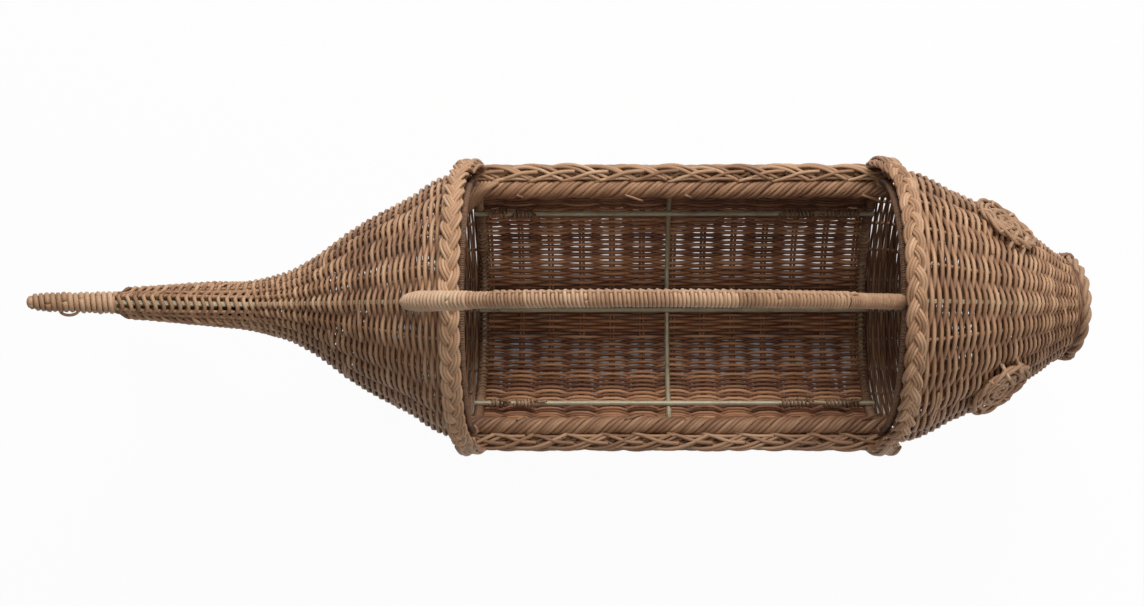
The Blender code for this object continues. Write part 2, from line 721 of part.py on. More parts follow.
def make_fin_edge(cane):
    """The bound edge between the fin's lobes, and the two horns that end them."""
    top = tail_point(1, 0)
    bottom = tail_point(1, math.pi)
    centre_z = (top.z + bottom.z) / 2
    half_height = (top.z - bottom.z) / 2
    reach = half_height - HORN_BASE_RADIUS - 2 * CANE_RADIUS - FIN_EDGE_RADIUS - CLEARANCE
    line = []
    for share in shares(FIN_EDGE_STATIONS):
        rise = reach * (1 - 2 * share)
        level = 1 - abs(rise / half_height) ** NOTCH_CURVE
        x = TAIL_HOOP_X - TAIL_LENGTH + FIN_NOTCH * level
        line.append(Vector((x, 0, centre_z + rise)))
    moved = [
        point + up * (FIN_EDGE_RADIUS + CLEARANCE) * (-1 if up.x > 0 else 1)
        for point, (_, _, up) in zip(line, edge_frames(line))
    ]
    wire("fin_edge_binding", moved, FIN_EDGE_RADIUS, cane)
    for point, lift, name in ((top, 1, "upper"), (bottom, -1, "lower")):
        tilt = HORN_BASE_RADIUS * HORN_TIP_RISE / HORN_LENGTH
        base = Vector((point.x - CLEARANCE - tilt, 0, point.z))
        tip = Vector((point.x - HORN_LENGTH + HORN_TIP_RADIUS * HORN_TIP_RISE / HORN_LENGTH, 0,
                      point.z + lift * HORN_TIP_RISE))
        cone = [base + (tip - base) * share for share in shares(HORN_STATIONS)]
        slimming = HORN_TIP_RADIUS - HORN_BASE_RADIUS
        radii = [HORN_BASE_RADIUS + slimming * share for share in shares(HORN_STATIONS)]
        lofted(f"{name}_horn", tube_rows(cone, radii, SLEEVE_SIDES), cane)
        length = (tip - base).length
        start = 2 * CANE_RADIUS
        end = length - 3 * CANE_RADIUS

        def radius_at(share, start=start, end=end, length=length, slimming=slimming):
            along = (start + (end - start) * share) / length
            return HORN_BASE_RADIUS + slimming * along + CLEARANCE + CANE_RADIUS

        turns = wound(cone, start, end, HORN_TURNS, radius_at)
        report_gap(f"{name}_horn_wrap", turns, CANE_RADIUS)
        wire(f"{name}_horn_wrap", turns, CANE_RADIUS, cane, resolution=1)


def edge_frames(line):
    """Directions along the fin's edge and square to it, kept in the plane of the fin."""
    made = []
    for direction, _, _ in frames(line):
        made.append((direction, Vector((0, 1, 0)), direction.cross(Vector((0, 1, 0)))))
    return made


def main():
    clear_scene()
    basket = bpy.data.objects.new("basket", None)
    bpy.context.scene.collection.objects.link(basket)
    cane = finish("woven_cane", (0.31, 0.18, 0.105), 0.62)
    pale_cane = finish("pale_cane", (0.40, 0.25, 0.155), 0.55)
    dark_cane = finish("dark_cane", (0.22, 0.125, 0.07), 0.62)
    paint = finish("painted_wire", (0.45, 0.40, 0.28), 0.45)
    head, tail = make_weaves(cane)
    make_hoops(paint, dark_cane)
    make_mid_rib(paint)
    make_long_wires(paint, dark_cane)
    make_wall_wires(paint, head, tail)
    make_rims(paint, cane)
    make_braids(pale_cane)
    make_bar(paint, pale_cane)
    make_eyes(pale_cane)
    make_mouth(paint, dark_cane)
    make_fin_edge(pale_cane)


main()
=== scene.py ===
# %% [markdown]
# # A fish-shaped wicker basket
# The basket is woven from cane round a frame of painted wire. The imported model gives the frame, the
# sizes and a plain solid for every piece. This lesson keeps the wires and weaves real cane in place of
# the plain walls: every strand here is a curve with a round bevel, turned into a mesh.

# %% Load the frame
import bmesh
import bpy
import numpy as np
from math import acos, cos, exp, pi, radians, sin, sqrt, tanh, tau
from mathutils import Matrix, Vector


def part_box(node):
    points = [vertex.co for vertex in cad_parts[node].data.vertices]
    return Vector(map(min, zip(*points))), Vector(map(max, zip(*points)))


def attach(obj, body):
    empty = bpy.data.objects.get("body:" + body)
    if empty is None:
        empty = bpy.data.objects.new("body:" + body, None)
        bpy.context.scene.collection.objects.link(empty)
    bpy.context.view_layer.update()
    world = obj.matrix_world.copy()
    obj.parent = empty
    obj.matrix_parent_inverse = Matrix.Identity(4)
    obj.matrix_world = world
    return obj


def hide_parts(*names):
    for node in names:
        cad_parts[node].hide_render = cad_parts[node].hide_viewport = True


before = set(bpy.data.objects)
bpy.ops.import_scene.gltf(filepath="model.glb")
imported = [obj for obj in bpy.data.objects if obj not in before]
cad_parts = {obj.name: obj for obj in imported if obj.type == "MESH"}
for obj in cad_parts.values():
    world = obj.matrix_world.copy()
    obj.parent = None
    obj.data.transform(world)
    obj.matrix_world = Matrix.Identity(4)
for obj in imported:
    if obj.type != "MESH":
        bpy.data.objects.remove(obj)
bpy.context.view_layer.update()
print("frame loaded:", len(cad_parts), "nodes")

# %% [markdown]
# ## Camera
# The photograph looks straight down from about 1.4 m. Its frame is cut a little off the point below
# the lens, so the camera hangs there, level, and a small shift does the cutting.

# %% Camera
PHOTO_WIDTH, PHOTO_HEIGHT = 1144, 606
FOCAL_PIXELS = 1590
NADIR = (629, 344.9)
SENSOR_WIDTH = 36
CAMERA_PLACE = (0.03635, -0.030, 1.380)


def hang_camera():
    data = bpy.data.cameras.new("camera")
    data.sensor_width = SENSOR_WIDTH
    data.lens = FOCAL_PIXELS / PHOTO_WIDTH * SENSOR_WIDTH
    data.shift_x = (PHOTO_WIDTH / 2 - NADIR[0]) / PHOTO_WIDTH
    data.shift_y = (NADIR[1] - PHOTO_HEIGHT / 2) / PHOTO_WIDTH
    camera = bpy.data.objects.new("camera", data)
    camera.location = CAMERA_PLACE
    bpy.context.scene.collection.objects.link(camera)
    bpy.context.scene.camera = camera
    print("lens", round(data.lens, 1), "mm")


hang_camera()

# %% [markdown]
# ## Shader maths
# A material is a network of nodes, but its sums read better as Python. `Flow` wraps a socket, and an
# operator on it adds the Math node that does the sum. `Finish` makes one material and adds any other
# node from its type, its settings and the values or links of its sockets.

# %% Flow and Finish


class Flow:
    """A socket that adds its own Math nodes when it is used in a sum."""

    def __init__(self, finish, socket):
        self.finish, self.socket = finish, socket

    def maths(self, operation, *values, **settings):
        return self.finish.node("ShaderNodeMath", {"operation": operation, **settings}, dict(enumerate(values)))

    def __add__(self, other):
        return self.maths("ADD", self, other)

    def __sub__(self, other):
        return self.maths("SUBTRACT", self, other)

    def __rsub__(self, other):
        return self.maths("SUBTRACT", other, self)

    def __mul__(self, other):
        return self.maths("MULTIPLY", self, other)

    __radd__, __rmul__ = __add__, __mul__

    def larger(self, other):
        return self.maths("MAXIMUM", self, other)

    def soft_step(self, steep=60.0):
        """0 where the value is negative, then 1, with a soft change between."""
        return self.maths("MULTIPLY", self, steep, use_clamp=True)


class Finish:
    """One material, with its shader and a way to add nodes."""

    def __init__(self, name):
        self.material = bpy.data.materials.new(name)
        self.material.use_nodes = True
        self.tree = self.material.node_tree
        self.shader = self.tree.nodes["Principled BSDF"]

    def feed(self, socket, value):
        if isinstance(value, Flow):
            self.tree.links.new(value.socket, socket)
        else:
            socket.default_value = value

    def node(self, kind, settings=None, sockets=None, out=0):
        made = self.tree.nodes.new(kind)
        for key, value in (settings or {}).items():
            if key == "stops":
                self.stops(made.color_ramp, value)
            else:
                setattr(made, key, value)
        for key, value in (sockets or {}).items():
            self.feed(made.inputs[key], value)
        return Flow(self, made.outputs[out])

    def stops(self, ramp, stops):
        while len(ramp.elements) < len(stops):
            ramp.elements.new(1)
        for element, (place, colour) in zip(ramp.elements, stops):
            element.position, element.color = place, (*colour, 1)

    def noise(self, vector, scale, detail=2.0):
        return self.node("ShaderNodeTexNoise", {}, {"Vector": vector, "Scale": scale, "Detail": detail})

    def ramp(self, stops, shade):
        return self.node("ShaderNodeValToRGB", {"stops": stops}, {"Fac": shade})

    def raised(self, height, distance, strength):
        return self.node("ShaderNodeBump", {}, {"Height": height, "Distance": distance, "Strength": strength})

    def set(self, **values):
        for key, value in values.items():
            self.feed(self.shader.inputs[key.replace("_", " ")], value)


# %% [markdown]
# ## Cane
# Rattan cane is a vine's inner core: fine fibres run along each strand, no two strands have the same
# brown, and patches come and go along their length. The strands carry attributes for this: `tone`, one
# number for the whole strand, and `grain`, the place on the strand as if it lay straight. The colour
# is a ramp read by tone, patches and fibres together, and the same fibres roughen and raise it. A
# third attribute is painted shade: it is 1 in the depth of a woven wall and on the inner side of the
# head's and tail's walls, and it darkens the colour there. The ropes' ramps are darker and browner. The
# trough's ramp is darker and redder, as painted shade of the basket's inside, and the right rope's and
# the right border's ramps are darker, as painted shade of the side turned away from the window.

# %% Cane finish
FIBRE_STRETCH, PATCH_STRETCH = (45, 2600, 2600), (38, 190, 190)


def cane_finish(name, stops, roughness):
    finish = Finish(name)
    tone, grain, deep = (finish.node("ShaderNodeAttribute", {"attribute_name": mark}, out=out)
                         for mark, out in (("tone", "Fac"), ("grain", "Vector"), ("deep", "Fac")))
    fibres, strips = (finish.node("ShaderNodeVectorMath", {"operation": "MULTIPLY"}, {0: grain, 1: stretch})
                      for stretch in (FIBRE_STRETCH, PATCH_STRETCH))
    fibre, patches = finish.noise(fibres, 1.0, 3.0), finish.noise(strips, 1.0)
    clouds = finish.noise(finish.node("ShaderNodeTexCoord", out="Object"), 14.0)
    # The third attribute darkens the colour: painted shade in the depth of the weave and inside the head and
    # tail.
    shade = (tone * 0.5 + (patches - 0.5) * 0.55 + (fibre - 0.5) * 0.42 + (clouds - 0.5) * 0.5
             + 0.3 - deep * 0.4)
    finish.set(Base_Color=finish.ramp(stops, shade), Roughness=fibre * 0.25 + (roughness - 0.12),
               Normal=finish.raised(fibre, 0.00025, 0.5))
    finish.material.diffuse_color = (*stops[1][1], 1)
    return finish.material


NATURAL = ((0.05, (0.120, 0.049, 0.020)), (0.35, (0.272, 0.137, 0.066)),
           (0.65, (0.435, 0.247, 0.134)), (0.95, (0.600, 0.393, 0.240)))
PALE = ((0.05, (0.170, 0.079, 0.036)), (0.35, (0.335, 0.186, 0.098)),
        (0.65, (0.480, 0.289, 0.167)), (0.95, (0.620, 0.426, 0.277)))
DARK = ((0.05, (0.065, 0.026, 0.011)), (0.35, (0.150, 0.069, 0.032)),
        (0.65, (0.265, 0.140, 0.072)), (0.95, (0.400, 0.247, 0.147)))


def tinted(stops, tint):
    return tuple((place, tuple(part * share for part, share in zip(colour, tint))) for place, colour in stops)


natural_cane = cane_finish("woven_cane", NATURAL, 0.58)
# The trough's ramp is darker and redder: painted shade of the basket's inside, with a redder hue.
shaded_trough_cane = cane_finish("shaded_trough_cane", tinted(NATURAL, (0.83, 0.65, 0.525)), 0.60)
rope_cane = cane_finish("rope_cane", tinted(NATURAL, (0.79, 0.73, 0.68)), 0.58)
# A darker copy of the cane for the right rope and border: painted shade of the side away from the window.
shaded_side_cane = cane_finish("shaded_side_cane", tinted(NATURAL, (0.66, 0.61, 0.57)), 0.60)
pale_cane = cane_finish("pale_cane", PALE, 0.55)
dark_cane = cane_finish("dark_cane", DARK, 0.60)
print("cane finishes:", natural_cane.name, shaded_trough_cane.name, rope_cane.name, shaded_side_cane.name,
      pale_cane.name, dark_cane.name)

# %% [markdown]
# ## Painted wire
# The frame's wire has a cream paint with a slight green in it, rubbed and dusty where cane crosses it.
# It never changes shape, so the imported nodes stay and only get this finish. Its patterns read object
# coordinates.

# %% Wire finish
PAINT = ((0.25, (0.200, 0.160, 0.088)), (0.45, (0.370, 0.318, 0.205)), (0.75, (0.520, 0.465, 0.325)))


def wire_finish():
    finish = Finish("painted_wire")
    place = finish.node("ShaderNodeTexCoord", out="Object")
    dust, rubbed = finish.noise(place, 60.0, 3.0), finish.noise(place, 420.0)
    finish.set(Base_Color=finish.ramp(PAINT, dust * 0.7 + rubbed * 0.3), Roughness=0.62 - rubbed * 0.3,
               Normal=finish.raised(rubbed, 0.0001, 0.3))
    return finish.material


painted_wire = wire_finish()
WIRES = [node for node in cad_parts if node.endswith(("_wire", "_hoop", "_rib", "_core"))]
for node in WIRES:
    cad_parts[node].data.materials.clear()
    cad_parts[node].data.materials.append(painted_wire)
print("painted:", len(WIRES), "wires")

# %% [markdown]
# ## Strands
# Every cane is a line of points with a thickness. `strand` notes one down, and `lay` makes a whole
# piece of them: one curve object with a spline for each strand and a round bevel, then a mesh, with
# its ends closed and its attributes written. A strand that lies in a woven wall also keeps the wall's
# normal and its own distance from the wall's middle, and the painted depth shade comes from these.

# %% Strands and lines
chance = np.random.default_rng(11)
vary = chance.uniform


def strand(points, radius, loop=False, tone=None, wall=None):
    radii = np.broadcast_to(np.asarray(radius, float), len(points)) * vary(0.93, 1.05)
    return points, radii, loop, chance.random() if tone is None else tone, wall


def spots_of(x, y, z):
    """Points from their coordinates, of which some may be a single number for all."""
    return np.stack(np.broadcast_arrays(x, y, z), -1)


def steps_of(points):
    return np.linalg.norm(np.diff(points, axis=0), axis=1)


def run_along(points):
    """How far along its line each point lies."""
    return np.concatenate([[0], np.cumsum(steps_of(points))])


def length_of(points):
    return float(steps_of(points).sum())


def round_angles(count):
    return np.arange(count) * tau / count


def fade(value, width, centre=0.0):
    """1 at the centre, sinking to 0 on both sides."""
    return np.exp(-(((value - centre) / width) ** 2))


# %% A piece of many strands
STRAND_SHIFT = 0.377
SKIN = 0.002


def curve_of(name, strands, sides):
    curve = bpy.data.curves.new(name, "CURVE")
    curve.dimensions = "3D"
    curve.bevel_depth = 1.0
    curve.bevel_resolution = (sides - 4) // 2
    for points, radii, loop, _, _ in strands:
        spline = curve.splines.new("POLY")
        spline.points.add(len(points) - 1)
        spline.points.foreach_set("co", np.column_stack([points, np.ones(len(points))]).ravel())
        spline.points.foreach_set("radius", radii)
        spline.use_cyclic_u = loop
        spline.use_smooth = True
    return bpy.data.objects.new(name, curve)


def strand_marks(strands, sides):
    """For each vertex of the bevelled strands, its strand's tone and its place on the straight strand."""
    tones, grains = [], []
    turn = round_angles(sides)
    for index, (points, radii, _, tone, _) in enumerate(strands):
        grain = spots_of(run_along(points)[:, None] + index * STRAND_SHIFT, radii[:, None] * np.cos(turn),
                         radii[:, None] * np.sin(turn))
        grains.append(grain.reshape(-1, 3))
        tones.append(np.full(len(points) * sides, tone))
    return np.concatenate(tones), np.concatenate(grains)


def depth_marks(mesh, strands, sides):
    """Painted shade for each vertex, from its depth in its wall: 1 in the middle, and all over the inner side
    where the inside is shaded too, 0 on a face that is seen.
    """
    spots = np.empty(len(mesh.vertices) * 3)
    mesh.vertices.foreach_get("co", spots)
    spots = spots.reshape(-1, 3)
    deep, first = np.zeros(len(spots)), 0
    for points, _, _, _, wall in strands:
        last = first + len(points) * sides
        if wall is not None:
            out, normal, shade_inside = wall
            away = spots[first:last].reshape(len(points), sides, 3) - points[:, None]
            off = out[:, None] + np.sum(away * normal[:, None], -1)
            deep[first:last] = fade(np.maximum(off, 0) if shade_inside else off, SKIN).ravel()
        first = last
    return deep


def mark(mesh, name, values):
    """Writes an attribute with one number for each vertex, or three."""
    kind, key = ("FLOAT", "value") if values.ndim == 1 else ("FLOAT_VECTOR", "vector")
    mesh.attributes.new(name, kind, "POINT").data.foreach_set(key, values.astype(np.float32).ravel())


def close_ends(mesh):
    work = bmesh.new()
    work.from_mesh(mesh)
    bmesh.ops.holes_fill(work, edges=[edge for edge in work.edges if edge.is_boundary], sides=0)
    work.to_mesh(mesh)
    work.free()


def lay(name, strands, material, *nodes, sides=6):
    """One piece of many canes, which stands for CAD nodes and rides on the basket."""
    source = curve_of(name, strands, sides)
    mesh = bpy.data.meshes.new_from_object(source)
    bpy.data.objects.remove(source)
    tones, grains = strand_marks(strands, sides)
    mark(mesh, "tone", tones)
    mark(mesh, "grain", grains)
    mark(mesh, "deep", depth_marks(mesh, strands, sides))
    close_ends(mesh)
    mesh.materials.clear()
    mesh.materials.append(material)
    piece = bpy.data.objects.new(name, mesh)
    bpy.context.scene.collection.objects.link(piece)
    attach(piece, "root")
    if nodes:
        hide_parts(*nodes)
    print(f"{name}: {len(strands)} canes, {sum(len(face.vertices) - 2 for face in mesh.polygons)} triangles")


# %% [markdown]
# ## The body's shape
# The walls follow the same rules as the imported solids: two oval hoops 324 mm apart, a trough between
# them, a head that closes to a mouth and a tail that narrows and opens into an upright fin. Each rule
# takes whole arrays, so that a strand's points come from one call.

# %% Body sizes
CLEARANCE = 0.0003
HALF_WALL = 0.0035
TAIL_LENGTH, TROUGH_LENGTH, HEAD_LENGTH = 0.2442, 0.3243, 0.136
HALF_WIDTH, HALF_HEIGHT = 0.102, 0.1365
MIDDLE = HALF_HEIGHT + HALF_WALL
TAIL_RISE, HEAD_DROP = 0.010, 0.005
BELLY_CUT = 1.03
HOOP_LEAN = 0.0035
FIN_START, FIN_NOTCH, FIN_FULLNESS = 0.55, 0.034, 1.6
TAIL_HOOP_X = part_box("tail_weave")[0].x + TAIL_LENGTH
HEAD_HOOP_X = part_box("head_weave")[1].x - HEAD_LENGTH
TAIL, HEAD = -1, 1
FORWARD = (1, 0, 0)
TAIL_WIDTHS = ((0, 1), (0.08, 0.945), (0.172, 0.8), (0.264, 0.685), (0.36, 0.545), (0.458, 0.37),
               (0.55, 0.245), (0.652, 0.18), (0.755, 0.145), (0.877, 0.12), (1, 0.09))
TAIL_HEIGHTS = ((0, 1), (0.1, 0.955), (0.19, 0.865), (0.28, 0.75), (0.375, 0.62), (0.47, 0.485),
                (0.56, 0.39), (0.63, 0.355), (0.71, 0.38), (0.8, 0.48), (0.9, 0.63), (1, 0.76))
HEAD_WIDTHS = ((0, 1), (0.138, 0.985), (0.229, 0.93), (0.32, 0.86), (0.412, 0.81), (0.543, 0.72),
               (0.696, 0.605), (0.868, 0.475), (0.939, 0.4), (1, 0.36))
HEAD_HEIGHTS = ((0, 1), (0.15, 0.98), (0.33, 0.9), (0.55, 0.75), (0.75, 0.58), (0.9, 0.44), (1, 0.385))
print("tail hoop at", round(TAIL_HOOP_X, 4), "head hoop at", round(HEAD_HOOP_X, 4))

# %% [markdown]
# A table of shares is read on a smooth curve through its places. The section is an oval whose belly
# is cut flat, and in the fin it fills out towards a box. `trough_at` gives points of the trough,
# `head_at` and `tail_at` points of the two cones, moved outwards by `proud`. `on_hoop` gives points
# beside a hoop, lifted off its wall and slid away from the trough.

# %% Body rules


def read_share(table, along):
    places, values = np.array(table, float).T
    slopes = np.gradient(values, places)
    index = np.clip(np.searchsorted(places, along, side="right") - 1, 0, len(places) - 2)
    span = places[index + 1] - places[index]
    part = (along - places[index]) / span
    rise = values[index + 1] - values[index]
    start, end = slopes[index] * span, slopes[index + 1] * span
    bend = (1 - part) * (start - rise) - part * (end - rise)
    return values[index] + part * rise + part * (1 - part) * bend


def ease(part):
    part = np.clip(part, 0, 1)
    return part * part * (3 - 2 * part)


def opening(along):
    """How far the fin has opened, from 0 at the neck to 1 at its edge."""
    return ease((along - FIN_START) / 0.45)


def oval(angle, half_width, half_height, fullness=2.0):
    power = 2 / fullness
    side = np.sign(np.sin(angle)) * np.abs(np.sin(angle)) ** power
    rise = np.sign(np.cos(angle)) * np.abs(np.cos(angle)) ** power
    rise = np.where(rise < 0, np.maximum(-1, rise * BELLY_CUT), rise)
    return side * half_width, rise * half_height


def hoop_x(end, rise):
    return (HEAD_HOOP_X if end == HEAD else TAIL_HOOP_X) - end * HOOP_LEAN * rise / HALF_HEIGHT


def on_hoop(end, angle, lift, slide):
    y, rise = oval(angle, HALF_WIDTH + lift, HALF_HEIGHT + lift)
    return spots_of(hoop_x(end, rise) + end * slide, y, MIDDLE + rise)


def head_at(along, angle, proud=0.0):
    y, rise = oval(angle, HALF_WIDTH * read_share(HEAD_WIDTHS, along) + proud,
                   HALF_HEIGHT * read_share(HEAD_HEIGHTS, along) + proud)
    x = HEAD_HOOP_X + along * HEAD_LENGTH + (hoop_x(HEAD, rise) - HEAD_HOOP_X) * (1 - ease(along))
    return spots_of(x, y, MIDDLE - HEAD_DROP * ease(along) + rise)


def tail_at(along, angle, proud=0.0):
    height = HALF_HEIGHT * read_share(TAIL_HEIGHTS, along) + proud
    opened = opening(along)
    y, rise = oval(angle, HALF_WIDTH * read_share(TAIL_WIDTHS, along) + proud, height,
                   2 + FIN_FULLNESS * opened)
    level = 1 - np.abs(rise / height) ** 1.5
    x = TAIL_HOOP_X - along * TAIL_LENGTH + (hoop_x(TAIL, rise) - TAIL_HOOP_X) * (1 - ease(along))
    return spots_of(x + FIN_NOTCH * opened * level, y, MIDDLE + TAIL_RISE * ease(along) + rise)


def trough_at(along, angle):
    y, rise = oval(angle, HALF_WIDTH, HALF_HEIGHT)
    start, end = hoop_x(TAIL, rise), hoop_x(HEAD, rise)
    return spots_of(start + (end - start) * along, y, MIDDLE + rise)


def outward_at(angle):
    return spots_of(0, np.sin(angle), np.cos(angle))


def off_wall(surface, along, angle, out):
    """Points of a wall, moved square to it by out."""
    along, angle = np.broadcast_arrays(np.asarray(along, float), np.asarray(angle, float))
    small = 1e-4
    low, high = np.clip(along - small, 0, 1), np.clip(along + small, 0, 1)
    forward = surface(high, angle) - surface(low, angle)
    around = surface(along, angle + small) - surface(along, angle - small)
    normal = np.cross(around, forward)
    normal /= np.linalg.norm(normal, axis=-1, keepdims=True)
    normal *= np.sign(np.sum(normal * outward_at(angle), -1, keepdims=True))
    return surface(along, angle) + normal * np.asarray(out)[..., None]


def woven(surface, along, angle, out, radius, shade_inside, **more):
    """A strand that lies in a wall, at out from its middle."""
    spot = off_wall(surface, along, angle, out)
    normal = off_wall(surface, along, angle, out + 1.0) - spot
    return strand(spot, radius, wall=(out, normal, shade_inside), **more)


print("back of the tail hoop:", tail_at(0.0, 0.0).round(4))

# %% [markdown]
# ## Weaving the head and the tail
# Round the head and the tail the weaver goes in front of one stake and behind the next, and the next
# round does the opposite. So a round is a wave that crosses the wall once per stake, with its sign
# turned at every round. Real rounds wander a little, and lean where the weaver pulled them. Low on
# the flanks near the hoops they are slack, and light comes through, while the belly's are thick and
# close. From the narrow neck on, the stakes crowd along the back: a round passes several of them at a
# time and crosses the back straight, though the fin's wall is bowed. The two wires along the back and
# belly are stakes as well, and two thin cords close the edge at the hoop.

# %% Woven cones
STAKES = 24
STAKE_RADIUS = 0.0014


def read_line(table, along):
    """A value from (share, value) pairs, read straight between them."""
    return float(np.interp(along, *np.array(table).T))


def rounds_between(pitches):
    """Places of the rounds along a cone, from (share, pitch as a share) pairs."""
    places = [0.006]
    while places[-1] < 0.994:
        places.append(places[-1] + read_line(pitches, places[-1]))
    return places[:-1]


def wander(angle, row):
    """A slow waver that neighbouring rounds share."""
    return 0.00035 * (np.sin(angle * 3 + row * 0.13) + 0.7 * np.sin(angle * 5 - row * 0.21 + 2))


def weave_cone(surface, length, pitches, canes, leans):
    """The rounds of a woven cone, each over one stake and under the next."""
    angle = round_angles(STAKES * 4)
    from_back, from_belly = np.minimum(angle, tau - angle), angle - pi
    fin = float(surface is tail_at)
    made = []
    for row, along in enumerate(rounds_between(pitches)):
        sign = 1 if row % 2 else -1
        radius = read_line(canes, along) * vary(0.94, 1.05)
        over_wires = 0.0006 * (fade(from_back, 0.12) + fade(from_belly, 0.12))
        flare = fin * 0.0024 * ease((along - 0.72) / 0.12) * fade(angle, 0.6, pi / 2)
        reach = (STAKE_RADIUS + radius) * 0.88 + over_wires + flare
        slack = exp(-((along / 0.3) ** 2)) * fade(np.abs(from_belly), 0.55, 0.88)
        thick = 0.16 * ease((along - 0.12) / 0.2) * fade(from_belly, 1.1)
        crowd = fin * ease((along - 0.58) / 0.1) * fade(from_back, 0.72)
        wave = (1 - crowd) * np.cos(angle * STAKES / 2) + crowd * np.cos(angle * 4)
        lean = sign * read_line(leans, along) * np.sin(angle * STAKES / 2)
        opened = fin * opening(along)
        bow = FIN_NOTCH * opened * (1 - np.abs(np.cos(angle)) ** (3 / (2 + FIN_FULLNESS * opened)))
        shift = wander(angle, row) + vary(-0.00022, 0.00022) + lean + bow * fade(from_back, 1)
        # True gives the inner side of the head and tail painted shade as well.
        made.append(woven(surface, np.clip(along + shift / length, 0.002, 0.998), angle, sign * reach * wave,
                          radius * (1 - 0.3 * slack + thick), True, loop=True))
    return made


def stakes_of(surface):
    """The rods that run lengthwise inside the wall; the back's and belly's are wires already."""
    along = np.linspace(0, 1, 26)
    made = []
    for index in range(STAKES):
        if index % (STAKES // 2):
            angle = index * tau / STAKES + vary(-0.015, 0.015)
            made.append(strand(off_wall(surface, along, angle, 0.0 * along), STAKE_RADIUS, tone=0.3))
    return made


def stray_ends(surface, length, count, spread):
    """Cut ends of canes: each comes out beside a stake, lies over it and stands off a little."""
    made = []
    for _ in range(count):
        along = vary(*spread)
        angle = (chance.integers(STAKES) + vary(-0.1, 0.1)) * tau / STAKES
        step = np.linspace(-0.9, vary(0.3, 0.8), 7)
        out = 0.0028 * np.cos(step * 1.4) + 0.0011 * ease(step)
        sweep = chance.choice([-1, 1]) * step * tau / STAKES
        drift = along + step * vary(-0.001, 0.001) / length
        made.append(strand(off_wall(surface, drift, angle + sweep, out), 0.0011))
    return made


def edge_cords(surface):
    """Two cords side by side in the wall's thickness, where the cone meets the hoop."""
    angle = round_angles(96)
    return [strand(off_wall(surface, 0 * angle, angle, out + 0.0003 * np.sin(angle * 11)), 0.0012, True, 0.0)
            for out in (-0.0014, 0.0014)]


def lay_cone(name, surface, length, pitches, canes, leans, strays, spread):
    made = weave_cone(surface, length, pitches, canes, leans)
    made += edge_cords(surface) + stakes_of(surface) + stray_ends(surface, length, strays, spread)
    lay(f"{name}_canes", made, natural_cane, f"{name}_weave")


# %% Head and tail
lay_cone("head", head_at, HEAD_LENGTH,
         ((0, 0.0182), (0.3, 0.018), (0.62, 0.0172), (0.74, 0.0132), (0.86, 0.0112), (1, 0.0104)),
         ((0, 0.00172), (0.6, 0.00166), (0.76, 0.00128), (1, 0.0011)),
         ((0, 0.0), (1, 0.0003)), 26, (0.06, 0.95))
lay_cone("tail", tail_at, TAIL_LENGTH,
         ((0, 0.0092), (0.3, 0.009), (0.5, 0.0092), (0.62, 0.0098), (0.67, 0.0126), (0.72, 0.0126),
          (0.76, 0.0097), (1, 0.0097)), ((0, 0.00154), (0.5, 0.00148), (0.62, 0.00154), (1, 0.00158)),
         ((0, 0.0), (0.45, 0.0002), (0.6, 0.0009), (1, 0.001)), 34, (0.05, 0.97))

# %% [markdown]
# ## Weaving the trough
# The trough's rows run lengthwise, from hoop to hoop, over and under pairs of thin rods that go round
# under the belly. The rows are spaced evenly along the wall's own curve, so their places come from
# the curve's measured length.

# %% Trough
RIM_HEIGHT = 0.140
ROPE_RADIUS = 0.0085
ROPE_SPREAD = 0.093
RIM_SHIFT = {1: 0.0016, -1: 0.0}
ROD_PAIRS = 13
FIRST_PAIR, PAIR_STEP = 0.0092, 0.02544
ROW_PITCH = 0.00262
ROW_ANGLES = (1.9, 2.5, 3.0, 3.3, 3.8, 4.4)
ROW_REACHES = (0.0014, 0.0016, 0.0024, 0.0028, 0.0028, 0.0028)
ROW_RADII = (0.00162, 0.00163, 0.00153, 0.00154, 0.0014, 0.00138)


def even_angles(pitch):
    """Angles at equal steps along the trough's section, from under one rope to under the other."""
    drop = sqrt((ROPE_RADIUS + CLEARANCE) ** 2 - (HALF_WIDTH - HALF_WALL - ROPE_SPREAD) ** 2)
    top = acos((RIM_HEIGHT - drop - MIDDLE) / (HALF_HEIGHT * BELLY_CUT))
    fine = np.linspace(top - 0.02, tau - top + 0.02, 2001)
    run = np.concatenate([[0], np.cumsum(np.hypot(*np.diff(oval(fine, HALF_WIDTH, HALF_HEIGHT))))])
    return np.interp(np.linspace(0, run[-1], int(run[-1] / pitch)), run, fine)


def weave_trough():
    pairs = np.concatenate([[-0.3], np.arange(-0.25, ROD_PAIRS - 0.55, 0.25), [ROD_PAIRS - 0.65]])
    along = np.clip((FIRST_PAIR + pairs * PAIR_STEP) / TROUGH_LENGTH, 0.003, 0.997)
    wave = np.tanh(1.4 * np.cos(pairs * pi)) / tanh(1.4)
    ends = 1 - 0.8 * fade(along, 0.012) - 0.8 * fade(1 - along, 0.02)
    made = []
    for row, angle in enumerate(even_angles(ROW_PITCH)):
        sign = 1 if row % 2 else -1
        reach, radius = (np.interp(angle, ROW_ANGLES, values) for values in (ROW_REACHES, ROW_RADII))
        wobble = (vary(-0.0003, 0.0003) + 0.0004 * np.sin(along * 9 + row * 0.3)) / 0.12
        out = sign * reach * vary(0.88, 1.1) * wave * ends
        uneven = vary(0.92, 1.05) * (1 + 0.06 * np.sin(along * 21 + row * 0.11))
        made.append(woven(trough_at, along, angle + wobble, out, radius * uneven, False,
                          tone=vary(-0.35, 1.35)))
    return made


